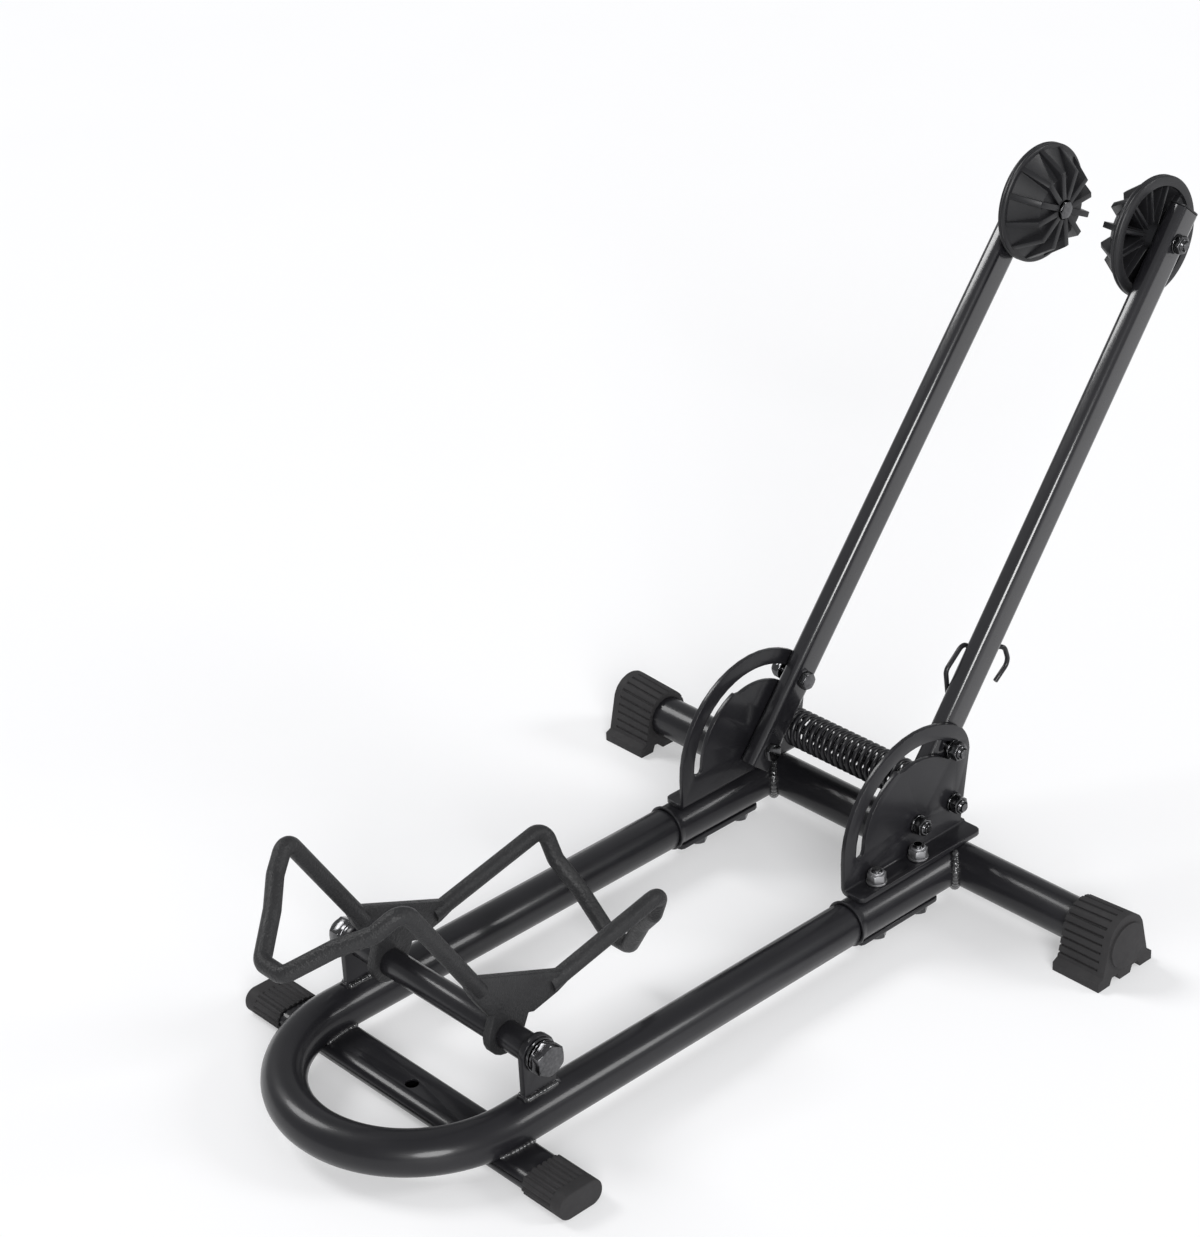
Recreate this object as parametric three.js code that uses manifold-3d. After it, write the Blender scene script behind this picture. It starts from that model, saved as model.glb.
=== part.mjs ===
// A folding floor rack for one bicycle: a low tube frame, a rocking cradle for the tyre at its
// front, and two leaning arms at its back whose finned discs hold the wheel from both sides.
//
// Millimetres. +X is to the right, +Y to the rear and +Z up. While the pieces are laid out, the
// rear cross tube's axis is at y = 0 and the floor at z = 0. The finished rack is then moved so
// that its origin is on the floor under the middle of its outline.

import * as THREE from "three";
import { mergeVertices } from "three/addons/utils/BufferGeometryUtils.js";
import Module from "manifold-3d";

const wasm = await Module();
wasm.setup();

// ---------------------------------------------------------------- driving dimensions

const fitGap = 0.3; // air between two pieces that touch
const runningGap = 0.5; // air beside a piece that turns or slides

// Frame tubes
const tubeDiameter = 25.4;
const tubeWall = 1.5;
const tubeHeight = 21.1; // tube axis above the floor
const legSpacing = 147; // between the axes of the front tube's two legs
const bendAhead = 344.7; // bend centre ahead of the rear tube
const stubLength = 92; // rear tube axis to the mouth of a stub tube
const neckLength = 42; // how far a leg's swaged neck goes into its stub tube
const flareLength = 4;
const flareSize = 1.3;
const weldSize = 1.6;
const rearWidth = 402; // over the ends of the rear feet, without their bosses

// Rear feet
const footLength = 33;
const footWidth = 46.6;
const footLipHeight = 5.6;
const footSideWall = 2.2;
const footTopWall = 6.6;
const footEndWall = 5;
const footBandLength = 5; // plain band beyond the ribs
const footBossHeight = 1.5;
const footBossDiameter = 28;
const footNotchWidth = 8.7;
const footNotchDepth = 4.4;
const footNotchSpacing = 17.8;
const footTaper = 0.07;
const ribPitch = 5.2;
const ribGrooveWidth = 1.7;
const ribGrooveDepth = 1.3;

// Front bar and its caps
const barWidth = 27;
const barHeight = 12;
const barWall = 1.5;
const barAhead = 350; // bar axis ahead of the rear tube
const barHoleDiameter = 8;
const barHoleAhead = 352;
const frontWidth = 262; // over the ends of the front caps
const capLength = 31;
const capWall = 2;
const capFloor = 1.8;
const capRoof = 1.7;
const capEndWall = 6;
const capEndRadius = 9;

// Brackets
const plateThickness = 3;
const plateRadius = 61; // round edge of the plate, about the arm's pivot
const platePivotAhead = 24.6;
const platePivotHeight = 54;
const plateRearTop = 45.2; // rear edge behind the pivot, at its top
const plateRearTopHeight = 31.5;
const plateRearFoot = 37;
const plateCornerAngle = 50; // where the round edge ends, above the pivot's level
const bendInside = 1.2;
const flangeWidth = 16.5;
const flangeRear = 16.5; // behind the rear tube's axis
const flangeCorner = 4;
const slotStep = 3; // how much further in the slot's wide part reaches
const slotWideFrom = -15; // lean at which the wide part ends, towards the front
const slotFrontLean = -87.6;

// Clamp strips under the stub tubes
const stripThickness = 3;
const stripWidth = 13;
const stripRear = 20;
const stripFront = 86;
const flangeBoltAhead = [66, 31];

// Cross rod and its spring
const rodBehindPivot = 31;
const rodAbovePivot = 0.4;
const springDiameter = 24;
const springWire = 3.2;
const springTurns = 24;

// Arms
const armLean = 38.9; // rearward from upright, in degrees
const armToe = 0.57; // how far each arm leans inwards, in degrees
const armThickness = 12.1;
const armDepth = 19.4;
const armWall = 1.2;
const armCorner = 4;
const armCentre = 57.45; // middle plane of the rack to the arm's axis, at its pivot
const armReach = 386; // pivot to the top end
const armTail = 12; // pivot to the bottom end
const guideRadius = 47.75; // pivot to the guide bolt
const discBelowTop = 20; // the disc's bolt, down from the arm's top end
const plugDepth = 12;

// Discs
const discRadius = 36.5;
const discRimWidth = 5;
const discRimDepth = 6;
const discStandOff = 3.2; // rim's outer face to the arm
const discGrooveDepth = 0.9;
const discFins = 12;
const finThickness = 3.6;
const finReach = 16.5; // how far the fins stand in from the rim
const finTipRadius = 24;
const finStep = 3;
const coneTipRadius = 19;
const discShell = 2.5;
const hubRadius = 8;

// Hook
const hookWire = 3;
const hookReach = 107; // pivot to where the hook's wire rounds the arm's rear edge

// Cradle
const shaftAhead = 325;
const shaftHeight = 57.5;
const tabThickness = 4;
const tabWidth = 22;
const cradleTilt = 23.2; // rear end down, in degrees
const cradleHalfWidth = 47.75; // middle plane to a gusset's middle
const cradleWire = 9.8;
const gussetThickness = 5.5;
const gussetHalfLength = 39.5;
const gussetTop = 33.5;
const gussetEyeRadius = 12.5;
const loopCorner = { reach: 94.5, height: 74, bend: 7 };
const loopShoulder = { half: 40, reach: 102.8, height: 57.7, bend: 10 };
const loopWaist = { half: 25.4, reach: 112.7, height: 44.9, bend: 10 };
const loopDip = { half: 8.5, reach: 127, height: 24, bend: 7.5 };
const shaftTubeDiameter = 16;

// Fasteners
const m6 = { radius: 3, flats: 10, head: 4, nut: 5, collar: 1.4, washer: 6, washerThickness: 1.2 };
const m6Thin = { ...m6, nut: 3.6, collar: 1, washerThickness: 0.8 };
const m10 = { radius: 5, flats: 17, head: 6.4, nut: 8, collar: 2, washer: 10, washerThickness: 2 };
const threadPast = 1.2; // thread that stands out of a nut

// ---------------------------------------------------------------- derived places

const tubeRadius = tubeDiameter / 2;
const tubeBore = tubeRadius - tubeWall;
const tubeTop = tubeHeight + tubeRadius;
const legX = legSpacing / 2;
const pivot = [-platePivotAhead, platePivotHeight];
const plateInner = armCentre + armThickness / 2 + runningGap;
const plateOuter = plateInner + plateThickness;
const flangeBottom = tubeTop + fitGap;
const flangeTop = flangeBottom + plateThickness;
const discReach = armReach - discBelowTop;
const rodAt = [pivot[0] + rodBehindPivot, pivot[1] + rodAbovePivot];
const shaftAt = [-shaftAhead, shaftHeight];

const slotSteps = 16;
const tubeSides = 16;
const smallSides = 12;
const boltSides = 8;
const wireSides = 10;
const discSides = 24;
const degrees = THREE.MathUtils.degToRad;

// ---------------------------------------------------------------- finishes

const finish = (color, roughness, metalness) => () =>
  new THREE.MeshStandardMaterial({ color, roughness, metalness });
const powderCoat = finish(0x1b1b1e, 0.42, 0.2);
const wrinkleCoat = finish(0x1d1d1e, 0.75, 0.1);
const rubber = finish(0x2c2b2c, 0.85, 0);
const plastic = finish(0x232326, 0.55, 0);
const darkZinc = finish(0x3a3a3c, 0.35, 0.8);
const brightZinc = finish(0x8d8d90, 0.3, 0.9);

// ---------------------------------------------------------------- geometry helpers

/** Points on an arc about a centre, both ends included; angles in degrees. */
function arc([u, v], radius, from, to, steps) {
  return Array.from({ length: steps + 1 }, (_, i) => {
    const angle = degrees(from + ((to - from) * i) / steps);
    return [u + radius * Math.cos(angle), v + radius * Math.sin(angle)];
  });
}

/** A point at a lean from upright about a pivot, leaning towards the rear. */
function leaning([y, z], radius, lean) {
  return [y + radius * Math.sin(degrees(lean)), z + radius * Math.cos(degrees(lean))];
}

/** A rectangle with round corners, about a centre. */
function roundedBox([u, v], width, height, radius, steps = 3) {
  const [a, b] = [width / 2 - radius, height / 2 - radius];
  return [
    ...arc([u + a, v + b], radius, 0, 90, steps),
    ...arc([u - a, v + b], radius, 90, 180, steps),
    ...arc([u - a, v - b], radius, 180, 270, steps),
    ...arc([u + a, v - b], radius, 270, 360, steps),
  ];
}

/** A closed outline with holes as a three.js shape. */
function shapeOf(points, holes = []) {
  const vectors = (list) => list.map(([u, v]) => new THREE.Vector2(u, v));
  const shape = new THREE.Shape(vectors(points));
  shape.holes = holes.map((hole) => new THREE.Path(vectors(hole)));
  return shape;
}

/** Only positions, with shared corners, as cutting and joining need. */
function bare(geometry) {
  const plain = geometry.clone();
  plain.deleteAttribute("normal");
  plain.deleteAttribute("uv");
  return mergeVertices(plain, 1e-4);
}

/** A shape pushed along an axis; it is drawn in (y, z) for x, in (x, z) for y and in (x, y) for z. */
function prism(shape, axis, from, to) {
  const geometry = new THREE.ExtrudeGeometry(shape, { depth: to - from, bevelEnabled: false });
  const turn = {
    x: new THREE.Matrix4().set(0, 0, 1, from, 1, 0, 0, 0, 0, 1, 0, 0, 0, 0, 0, 1),
    y: new THREE.Matrix4().set(1, 0, 0, 0, 0, 0, -1, to, 0, 1, 0, 0, 0, 0, 0, 1),
    z: new THREE.Matrix4().makeTranslation(0, 0, from),
  };
  return bare(geometry.applyMatrix4(turn[axis]));
}

/** A solid of revolution about +Z from a closed profile of [radius, z] points, outer side upwards. */
function turned(profile, sides) {
  const closed = [...profile, profile[0]];
  const points = closed.map(([radius, z]) => new THREE.Vector2(radius, z));
  return bare(new THREE.LatheGeometry(points, sides).rotateX(Math.PI / 2));
}

/** A plain rod along +Z. */
function rod(radius, from, to, sides = smallSides) {
  const middle = (from + to) / 2;
  const cylinder = new THREE.CylinderGeometry(radius, radius, to - from, sides);
  return bare(cylinder.rotateX(Math.PI / 2).translate(0, 0, middle));
}

/** A rod or a bolt along +Z is laid along +X, or along -X on the left. */
const alongX = (geometry, sign = 1) => geometry.clone().rotateY((sign * Math.PI) / 2);

/** A round rod parallel to an axis through a point of the plane across it. */
function rodAlong(axis, [u, v], radius, from, to, sides = smallSides) {
  if (axis === "x") return alongX(rod(radius, from, to, sides)).translate(0, u, v);
  if (axis === "y") return rod(radius, -to, -from, sides).rotateX(Math.PI / 2).translate(u, 0, v);
  return rod(radius, from, to, sides).translate(u, v, 0);
}

/** A centreline whose steps fall on its own points: a straight takes one step, a bend many. */
class Route extends THREE.Curve {
  constructor(points) {
    super();
    this.points = points.map((p) => new THREE.Vector3(...p));
  }
  get steps() {
    return this.points.length - 1;
  }
  getPoint(t) {
    const place = Math.min(Math.max(t, 0), 1) * this.steps;
    const index = Math.min(Math.floor(place), this.steps - 1);
    return this.points[index].clone().lerp(this.points[index + 1], place - index);
  }
  getPointAt(t) {
    return this.getPoint(t);
  }
  getTangentAt(t) {
    const index = Math.round(t * this.steps);
    const along = (i) => this.points[i + 1].clone().sub(this.points[i]).normalize();
    if (index === 0) return along(0);
    if (index === this.steps) return along(this.steps - 1);
    return along(index - 1).add(along(index)).normalize();
  }
}

/** A round wire or tube along a list of points. */
function tubeAlong(points, radius, sides, bore = 0) {
  const route = new Route(points);
  const ring = (r) => arc([0, 0], r, 0, 360 - 360 / sides, sides - 1);
  const section = shapeOf(ring(radius), bore ? [ring(bore)] : []);
  return bare(new THREE.ExtrudeGeometry(section, { steps: route.steps, extrudePath: route }));
}

/** The centreline of a wire bent at each corner to that corner's radius. */
function bentRoute(corners, radii, steps) {
  const points = corners.map((c) => new THREE.Vector3(...c));
  const route = [points[0].toArray()];
  for (let i = 1; i < points.length - 1; i += 1) {
    const back = points[i - 1].clone().sub(points[i]).normalize();
    const ahead = points[i + 1].clone().sub(points[i]).normalize();
    const half = back.angleTo(ahead) / 2;
    const inwards = back.clone().add(ahead).normalize();
    const centre = points[i].clone().addScaledVector(inwards, radii[i - 1] / Math.sin(half));
    const start = points[i].clone().addScaledVector(back, radii[i - 1] / Math.tan(half)).sub(centre);
    const normal = back.clone().cross(ahead).normalize();
    const swing = -(Math.PI - 2 * half);
    for (let k = 0; k <= steps; k += 1) {
      const spoke = start.clone().applyAxisAngle(normal, (swing * k) / steps);
      route.push(spoke.add(centre).toArray());
    }
  }
  route.push(points[points.length - 1].toArray());
  return route;
}

function solidOf(geometry) {
  const triangles = [];
  const index = geometry.index.array;
  for (let i = 0; i < index.length; i += 3) {
    const [a, b, c] = [index[i], index[i + 1], index[i + 2]];
    if (a !== b && b !== c && c !== a) triangles.push(a, b, c);
  }
  const vertProperties = new Float32Array(geometry.getAttribute("position").array);
  const triVerts = new Uint32Array(triangles);
  return new wasm.Manifold(new wasm.Mesh({ numProp: 3, vertProperties, triVerts }));
}

function geometryOf(solid) {
  const mesh = solid.getMesh();
  const geometry = new THREE.BufferGeometry();
  geometry.setAttribute("position", new THREE.BufferAttribute(mesh.vertProperties, mesh.numProp));
  return geometry.setIndex(new THREE.BufferAttribute(mesh.triVerts, 1));
}

const join = (first, ...rest) =>
  geometryOf(rest.reduce((whole, piece) => whole.add(solidOf(piece)), solidOf(first)));
const cut = (first, ...rest) =>
  geometryOf(rest.reduce((whole, tool) => whole.subtract(solidOf(tool)), solidOf(first)));
const common = (first, second) => geometryOf(solidOf(first).intersect(solidOf(second)));

/** The same piece for the other side of the rack. */
function mirrored(geometry) {
  const other = geometry.clone().scale(-1, 1, 1);
  const index = other.index.array;
  for (let i = 0; i < index.length; i += 3) [index[i], index[i + 1]] = [index[i + 1], index[i]];
  return other;
}

const sides = [
  { name: "right", sign: 1, own: (geometry) => geometry.clone() },
  { name: "left", sign: -1, own: mirrored },
];

/** A named mesh in a group, with a material of its own. */
function place(group, name, geometry, makeMaterial) {
  const shown = geometry.clone();
  shown.computeVertexNormals();
  const mesh = new THREE.Mesh(shown, makeMaterial());
  mesh.name = name;
  group.add(mesh);
  return mesh;
}

// ---------------------------------------------------------------- fasteners, along +Z

const hexagon = (flats, from, to) => rod(flats / Math.sqrt(3), from, to, 6);

/** A hex bolt whose head lies under z = 0 and whose shank ends at the given length. */
function hexBolt(size, length) {
  return join(hexagon(size.flats, -size.head, 0), rod(size.radius, -size.head / 2, length, boltSides));
}

const nutHeight = (size) => size.washerThickness + size.nut + size.collar;

/** A lock nut with its washer under it, standing on z = 0. */
function lockNut(size) {
  const nutFoot = size.washerThickness;
  const nutTop = nutFoot + size.nut;
  const body = join(
    rod(size.washer, 0, nutFoot, 12),
    hexagon(size.flats, nutFoot / 2, nutTop),
    rod(size.flats * 0.43, nutTop - 1, nutTop + size.collar, 8),
  );
  return cut(body, rod(size.radius / Math.cos(Math.PI / 8) + fitGap, -1, nutHeight(size) + 1, boltSides));
}

function washer(size) {
  const bore = size.radius + fitGap;
  return turned(
    [
      [bore, 0],
      [size.washer, 0],
      [size.washer, size.washerThickness],
      [bore, size.washerThickness],
    ],
    20,
  );
}

/** How far a bolt reaches from its head to just past its nut, over what the two hold. */
const boltLength = (size, grip) => grip + 2 * fitGap + nutHeight(size) + threadPast;

// ---------------------------------------------------------------- base frame

/** The front tube's centreline, from one leg's end to the other's. */
function frontTubeRoute(legEnd) {
  const bend = arc([0, -bendAhead], legX, 0, -180, 12);
  return [[legX, -legEnd], ...bend, [-legX, -legEnd]].map(([x, y]) => [x, y, tubeHeight]);
}

/** The swaged neck of a leg, along +Y from the end of the leg's full size. */
function legNeck() {
  const neckRadius = tubeBore - fitGap;
  const neckBore = neckRadius - tubeWall;
  const overlap = 6;
  return turned(
    [
      [tubeBore, -overlap],
      [tubeRadius, -overlap],
      [tubeRadius, -tubeWall / 2],
      [neckRadius, tubeWall],
      [neckRadius, neckLength],
      [neckBore, neckLength],
      [neckBore, -tubeWall],
      [tubeBore, -2 * tubeWall],
    ],
    tubeSides,
  ).rotateX(-Math.PI / 2);
}

function flangeBoltHoles() {
  return flangeBoltAhead.map((ahead) =>
    rodAlong("z", [legX, -ahead], m6.radius + fitGap, 0, flangeTop + 1),
  );
}

function frontTube() {
  const legEnd = stubLength + fitGap;
  const bent = tubeAlong(frontTubeRoute(legEnd + 3), tubeRadius, tubeSides, tubeBore);
  const neck = legNeck().translate(legX, -legEnd, tubeHeight);
  const holes = flangeBoltHoles();
  return cut(join(bent, neck, mirrored(neck)), ...holes, ...holes.map(mirrored));
}

/** The front tube grown by a gap, for coping what is welded under it. */
const frontTubeClearance = () => tubeAlong(frontTubeRoute(stubLength), tubeRadius + fitGap, tubeSides);

function crossTube() {
  const halfLength = rearWidth / 2 - footEndWall - fitGap;
  return alongX(
    turned(
      [
        [tubeBore, -halfLength],
        [tubeRadius, -halfLength],
        [tubeRadius, halfLength],
        [tubeBore, halfLength],
      ],
      tubeSides,
    ),
  ).translate(0, 0, tubeHeight);
}

/** A stub tube with its flared mouth to the front, coped and welded to the cross tube. */
function stubTube() {
  const mouth = stubLength;
  const pipe = turned(
    [
      [tubeBore, 0],
      [tubeRadius, 0],
      [tubeRadius, mouth - flareLength],
      [tubeRadius + flareSize, mouth],
      [tubeBore + flareSize, mouth],
      [tubeBore, mouth - flareLength],
    ],
    tubeSides,
  )
    .rotateX(Math.PI / 2)
    .translate(legX, 0, tubeHeight);
  const beadRadius = tubeRadius + weldSize;
  const beadAlong = rodAlong("y", [legX, tubeHeight], beadRadius, -beadRadius, 0, tubeSides);
  const beadSpan = [legX - beadRadius - 1, legX + beadRadius + 1];
  const beadAcross = rodAlong("x", [0, tubeHeight], beadRadius, ...beadSpan, tubeSides);
  const bore = rodAlong("y", [legX, tubeHeight], tubeBore, -stubLength + flareLength, 1, tubeSides);
  const crossClearance = rodAlong("x", [0, tubeHeight], tubeRadius + fitGap, ...beadSpan, tubeSides);
  // The bead stays below the bracket's flange, which lies on top of the tube.
  const above = rodAlong("z", [legX, 0], beadRadius + 1, tubeTop + 0.02, flangeTop);
  const beaded = join(pipe, cut(common(beadAlong, beadAcross), above));
  return cut(beaded, bore, crossClearance, ...flangeBoltHoles());
}

/** Outline of a rear foot in (y, z), with grooves cut into its arch when a depth is given. */
function footOutline(grooveDepth) {
  const half = footWidth / 2;
  const archRadius = tubeRadius + footSideWall;
  const top = tubeTop + footTopWall;
  const arch = [0, top - archRadius];
  const shoulder = [half - 4, footLipHeight + 1.8];
  const lipTop = [half, footLipHeight];
  // The side runs from the shoulder to where it touches the arch.
  const away = [arch[0] - shoulder[0], arch[1] - shoulder[1]];
  const distance = Math.hypot(...away);
  const towards = Math.atan2(away[1], away[0]) - Math.asin(archRadius / distance);
  const run = Math.sqrt(distance ** 2 - archRadius ** 2);
  const touch = [shoulder[0] + run * Math.cos(towards), shoulder[1] + run * Math.sin(towards)];
  const touchAngle = Math.atan2(touch[1] - arch[1], touch[0] - arch[0]);
  const archLength = archRadius * (Math.PI / 2 - touchAngle);

  /** A point of the right half of the arch, by its distance from the top, at a depth. */
  const pointAt = (length, depth) => {
    if (length <= archLength) {
      const angle = Math.PI / 2 - length / archRadius;
      const r = archRadius - depth;
      return [arch[0] + r * Math.cos(angle), arch[1] + r * Math.sin(angle)];
    }
    const share = (length - archLength) / run;
    const u = touch[0] + (shoulder[0] - touch[0]) * share - depth * Math.cos(touchAngle);
    const v = touch[1] + (shoulder[1] - touch[1]) * share - depth * Math.sin(touchAngle);
    return [u, v];
  };
  const right = [pointAt(0, 0)];
  const total = archLength + run;
  for (let at = ribPitch / 2; at < total - ribGrooveWidth; at += ribPitch) {
    const edge = ribGrooveWidth / 2;
    right.push(pointAt(at - edge, 0));
    if (grooveDepth > 0) right.push(pointAt(at - edge / 2, grooveDepth), pointAt(at + edge / 2, grooveDepth));
    right.push(pointAt(at + edge, 0));
  }
  right.push(shoulder, lipTop, [half, 0]);
  const notch = (side) => {
    const [wide, narrow] = [footNotchWidth / 2, footNotchWidth / 2 - 1.7];
    const middle = (side * footNotchSpacing) / 2;
    return [
      [middle + wide, 0],
      [middle + narrow, footNotchDepth],
      [middle - narrow, footNotchDepth],
      [middle - wide, 0],
    ];
  };
  const left = right.slice(1).map(([u, v]) => [-u, v]);
  return [...right, ...notch(1), ...notch(-1), ...left.reverse()].reverse();
}

/** A rubber foot on the right end of the cross tube. */
function rearFoot() {
  const end = rearWidth / 2;
  const start = end - footLength;
  const ribbed = prism(shapeOf(footOutline(ribGrooveDepth)), "x", start, end - footBandLength + 1);
  const band = prism(shapeOf(footOutline(0)), "x", end - footBandLength, end);
  const axis = [0, tubeHeight];
  const bossRadius = footBossDiameter / 2;
  const boss = rodAlong("x", axis, bossRadius, end - 1, end + footBossHeight, 24);
  const body = join(ribbed, band);
  // The arch is lower at its inner end; the sole stays flat.
  const position = body.getAttribute("position");
  for (let i = 0; i < position.count; i += 1) {
    const share = (end - position.getX(i)) / footLength;
    const above = Math.max(position.getZ(i) - footLipHeight - 2, 0);
    position.setZ(i, position.getZ(i) - above * footTaper * share);
  }
  const socket = rodAlong("x", axis, tubeRadius + fitGap, start - 1, end - footEndWall, tubeSides);
  return cut(join(body, boss), socket);
}

function barSection(grow) {
  const [width, height] = [barWidth + 2 * grow, barHeight + 2 * grow];
  return roundedBox([-barAhead, capFloor + barHeight / 2], width, height, height / 2 - 0.2, 4);
}

function frontBar() {
  const halfLength = frontWidth / 2 - capEndWall - fitGap;
  const bar = prism(shapeOf(barSection(0), [barSection(-barWall)]), "x", -halfLength, halfLength);
  const middle = capFloor + barHeight / 2;
  const roofHole = rodAlong("z", [0, -barHoleAhead], barHoleDiameter / 2, middle, middle + barHeight);
  return cut(bar, frontTubeClearance(), roofHole);
}

/** A rubber cap on the right end of the front bar. */
function frontCap() {
  const end = frontWidth / 2;
  const start = end - capLength;
  const halfWidth = barWidth / 2 + capWall;
  const height = capFloor + barHeight + capRoof;
  const shoulder = 7;
  const lower = 3;
  const crown = (depth) => {
    const points = [
      ...arc([halfWidth - lower, lower], lower, -90, 0, 2),
      ...arc([halfWidth - shoulder, height - shoulder], shoulder, 0, 60, 2),
    ];
    for (let at = 2 * ribPitch; at > -2.5 * ribPitch; at -= ribPitch) {
      const half = ribGrooveWidth / 2;
      points.push([at + half, height], [at + half / 2, height - depth]);
      points.push([at - half / 2, height - depth], [at - half, height]);
    }
    return [
      ...points,
      ...arc([shoulder - halfWidth, height - shoulder], shoulder, 120, 180, 2),
      ...arc([lower - halfWidth, lower], lower, 180, 270, 2),
    ].map(([u, v]) => [u - barAhead, v]);
  };
  const bandLength = 8;
  const ribbed = prism(shapeOf(crown(capRoof / 2)), "x", start, end - bandLength + 1);
  const band = prism(shapeOf(crown(0.01)), "x", end - bandLength, end);
  const plan = shapeOf([
    [start - 1, -halfWidth - 1],
    ...arc([end - capEndRadius, capEndRadius - halfWidth], capEndRadius, -90, 0, 4),
    ...arc([end - capEndRadius, halfWidth - capEndRadius], capEndRadius, 0, 90, 4),
    [start - 1, halfWidth + 1],
  ].map(([u, v]) => [u, v - barAhead]));
  const rounded = common(join(ribbed, band), prism(plan, "z", -1, height + 1));
  return cut(rounded, prism(shapeOf(barSection(fitGap)), "x", start - 1, end - capEndWall));
}

/** A tab on top of a leg that holds the cradle's shaft. */
function tab() {
  const half = tabThickness / 2;
  const eye = tabWidth / 2;
  const outline = [
    [shaftAt[0] - eye, tubeHeight],
    [shaftAt[0] + eye, tubeHeight],
    ...arc(shaftAt, eye, 0, 180, 12),
  ];
  const hole = arc(shaftAt, m10.radius + fitGap, 0, 330, 11);
  const plate = prism(shapeOf(outline, [hole]), "x", legX - half, legX + half);
  const foot = tubeTop + weldSize;
  const beadHalf = half + weldSize;
  const bead = [
    [legX - beadHalf, tubeHeight],
    [legX + beadHalf, tubeHeight],
    [legX + beadHalf, tubeTop],
    [legX + half, foot],
    [legX - half, foot],
    [legX - beadHalf, tubeTop],
  ];
  const weld = prism(shapeOf(bead), "y", shaftAt[0] - eye - weldSize, shaftAt[0] + eye + weldSize);
  const legSpan = [shaftAt[0] - tabWidth, shaftAt[0] + tabWidth];
  const leg = rodAlong("y", [legX, tubeHeight], tubeRadius + fitGap, ...legSpan, tubeSides);
  const under = tubeRadius + 1;
  const below = prism(
    shapeOf([
      [legX - under, 0],
      [legX + under, 0],
      [legX + under, tubeHeight + under / 2],
      [legX - under, tubeHeight + under / 2],
    ]),
    "y",
    ...legSpan,
  );
  return cut(join(plate, weld), leg, below);
}

// ---------------------------------------------------------------- brackets

/** The bracket's plate in (y, z): round about the pivot, with a straight rear edge. */
function plateOutline() {
  const [y, z] = pivot;
  const cornerStart = arc(pivot, plateRadius, plateCornerAngle, plateCornerAngle, 1)[0];
  const cornerEnd = [y + plateRearTop, z + plateRearTopHeight];
  const corner = new THREE.QuadraticBezierCurve(
    new THREE.Vector2(...cornerStart),
    new THREE.Vector2(cornerEnd[0] - 0.5, cornerStart[1] - 7),
    new THREE.Vector2(...cornerEnd),
  );
  return [
    [y - plateRadius, flangeBottom - 1],
    [y + plateRearFoot, flangeBottom - 1],
    ...corner.getPoints(5).map((p) => [p.x, p.y]).reverse(),
    ...arc(pivot, plateRadius, plateCornerAngle, 180, 16).slice(1),
  ];
}

/** The curved slot: a narrow track for the guide bolt, wider towards its rear end. */
function slotOutlines() {
  const half = m6.radius + runningGap;
  const track = (inner, outer, from, to) => [
    ...arc(pivot, outer, 90 - from, 90 - to, slotSteps),
    ...arc(leaning(pivot, (inner + outer) / 2, to), (outer - inner) / 2, 90 - to, 270 - to, 4).slice(1, -1),
    ...arc(pivot, inner, 90 - to, 90 - from, slotSteps),
    ...arc(leaning(pivot, (inner + outer) / 2, from), (outer - inner) / 2, 270 - from, 450 - from, 4)
      .slice(1, -1),
  ];
  return {
    narrow: track(guideRadius - half, guideRadius + half, armLean, slotFrontLean),
    wide: track(guideRadius - half - slotStep, guideRadius + half, armLean, slotWideFrom),
  };
}

function bracket() {
  const bendOutside = bendInside + plateThickness;
  const flangeOuter = plateInner + flangeWidth;
  const height = pivot[1] + plateRadius + 5;
  const bendCentre = [plateInner + bendOutside, flangeBottom + bendOutside];
  const profile = shapeOf([
    ...arc(bendCentre, bendOutside, 180, 270, 4),
    [flangeOuter + 5, flangeBottom],
    [flangeOuter + 5, flangeTop],
    ...arc(bendCentre, bendInside, 270, 180, 3),
    [plateOuter, height],
    [plateInner, height],
  ]);
  const [front, rear] = [pivot[0] - plateRadius, flangeRear];
  const folded = prism(profile, "y", front - 5, rear + 5);
  const plateZone = prism(shapeOf(plateOutline()), "x", plateInner - 5, plateOuter + bendInside);
  const flangePlan = shapeOf([
    [plateInner - 5, front],
    ...arc([flangeOuter - flangeCorner, front + flangeCorner], flangeCorner, -90, 0, 3),
    ...arc([flangeOuter - flangeCorner, rear - flangeCorner], flangeCorner, 0, 90, 3),
    [plateInner - 5, rear],
  ]);
  const flangeZone = prism(flangePlan, "z", flangeBottom - 1, flangeTop + bendInside);
  const slots = slotOutlines();
  const through = [plateInner - 6, plateOuter + 6];
  const hole = (at) => rodAlong("x", at, m6.radius + fitGap, ...through);
  return cut(
    common(folded, join(plateZone, flangeZone)),
    prism(shapeOf(slots.narrow), "x", ...through),
    prism(shapeOf(slots.wide), "x", ...through),
    hole(pivot),
    hole(rodAt),
    ...flangeBoltHoles(),
  );
}

function clampStrip() {
  const middle = [legX, -(stripFront + stripRear) / 2];
  const plan = roundedBox(middle, stripWidth, stripFront - stripRear, 3, 2);
  const top = tubeHeight - tubeRadius - fitGap;
  const holes = flangeBoltAhead.map((ahead) => arc([legX, -ahead], m6.radius + fitGap, 0, 330, 11));
  return prism(shapeOf(plan, holes), "z", top - stripThickness, top);
}

// ---------------------------------------------------------------- spring on the cross rod

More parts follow.
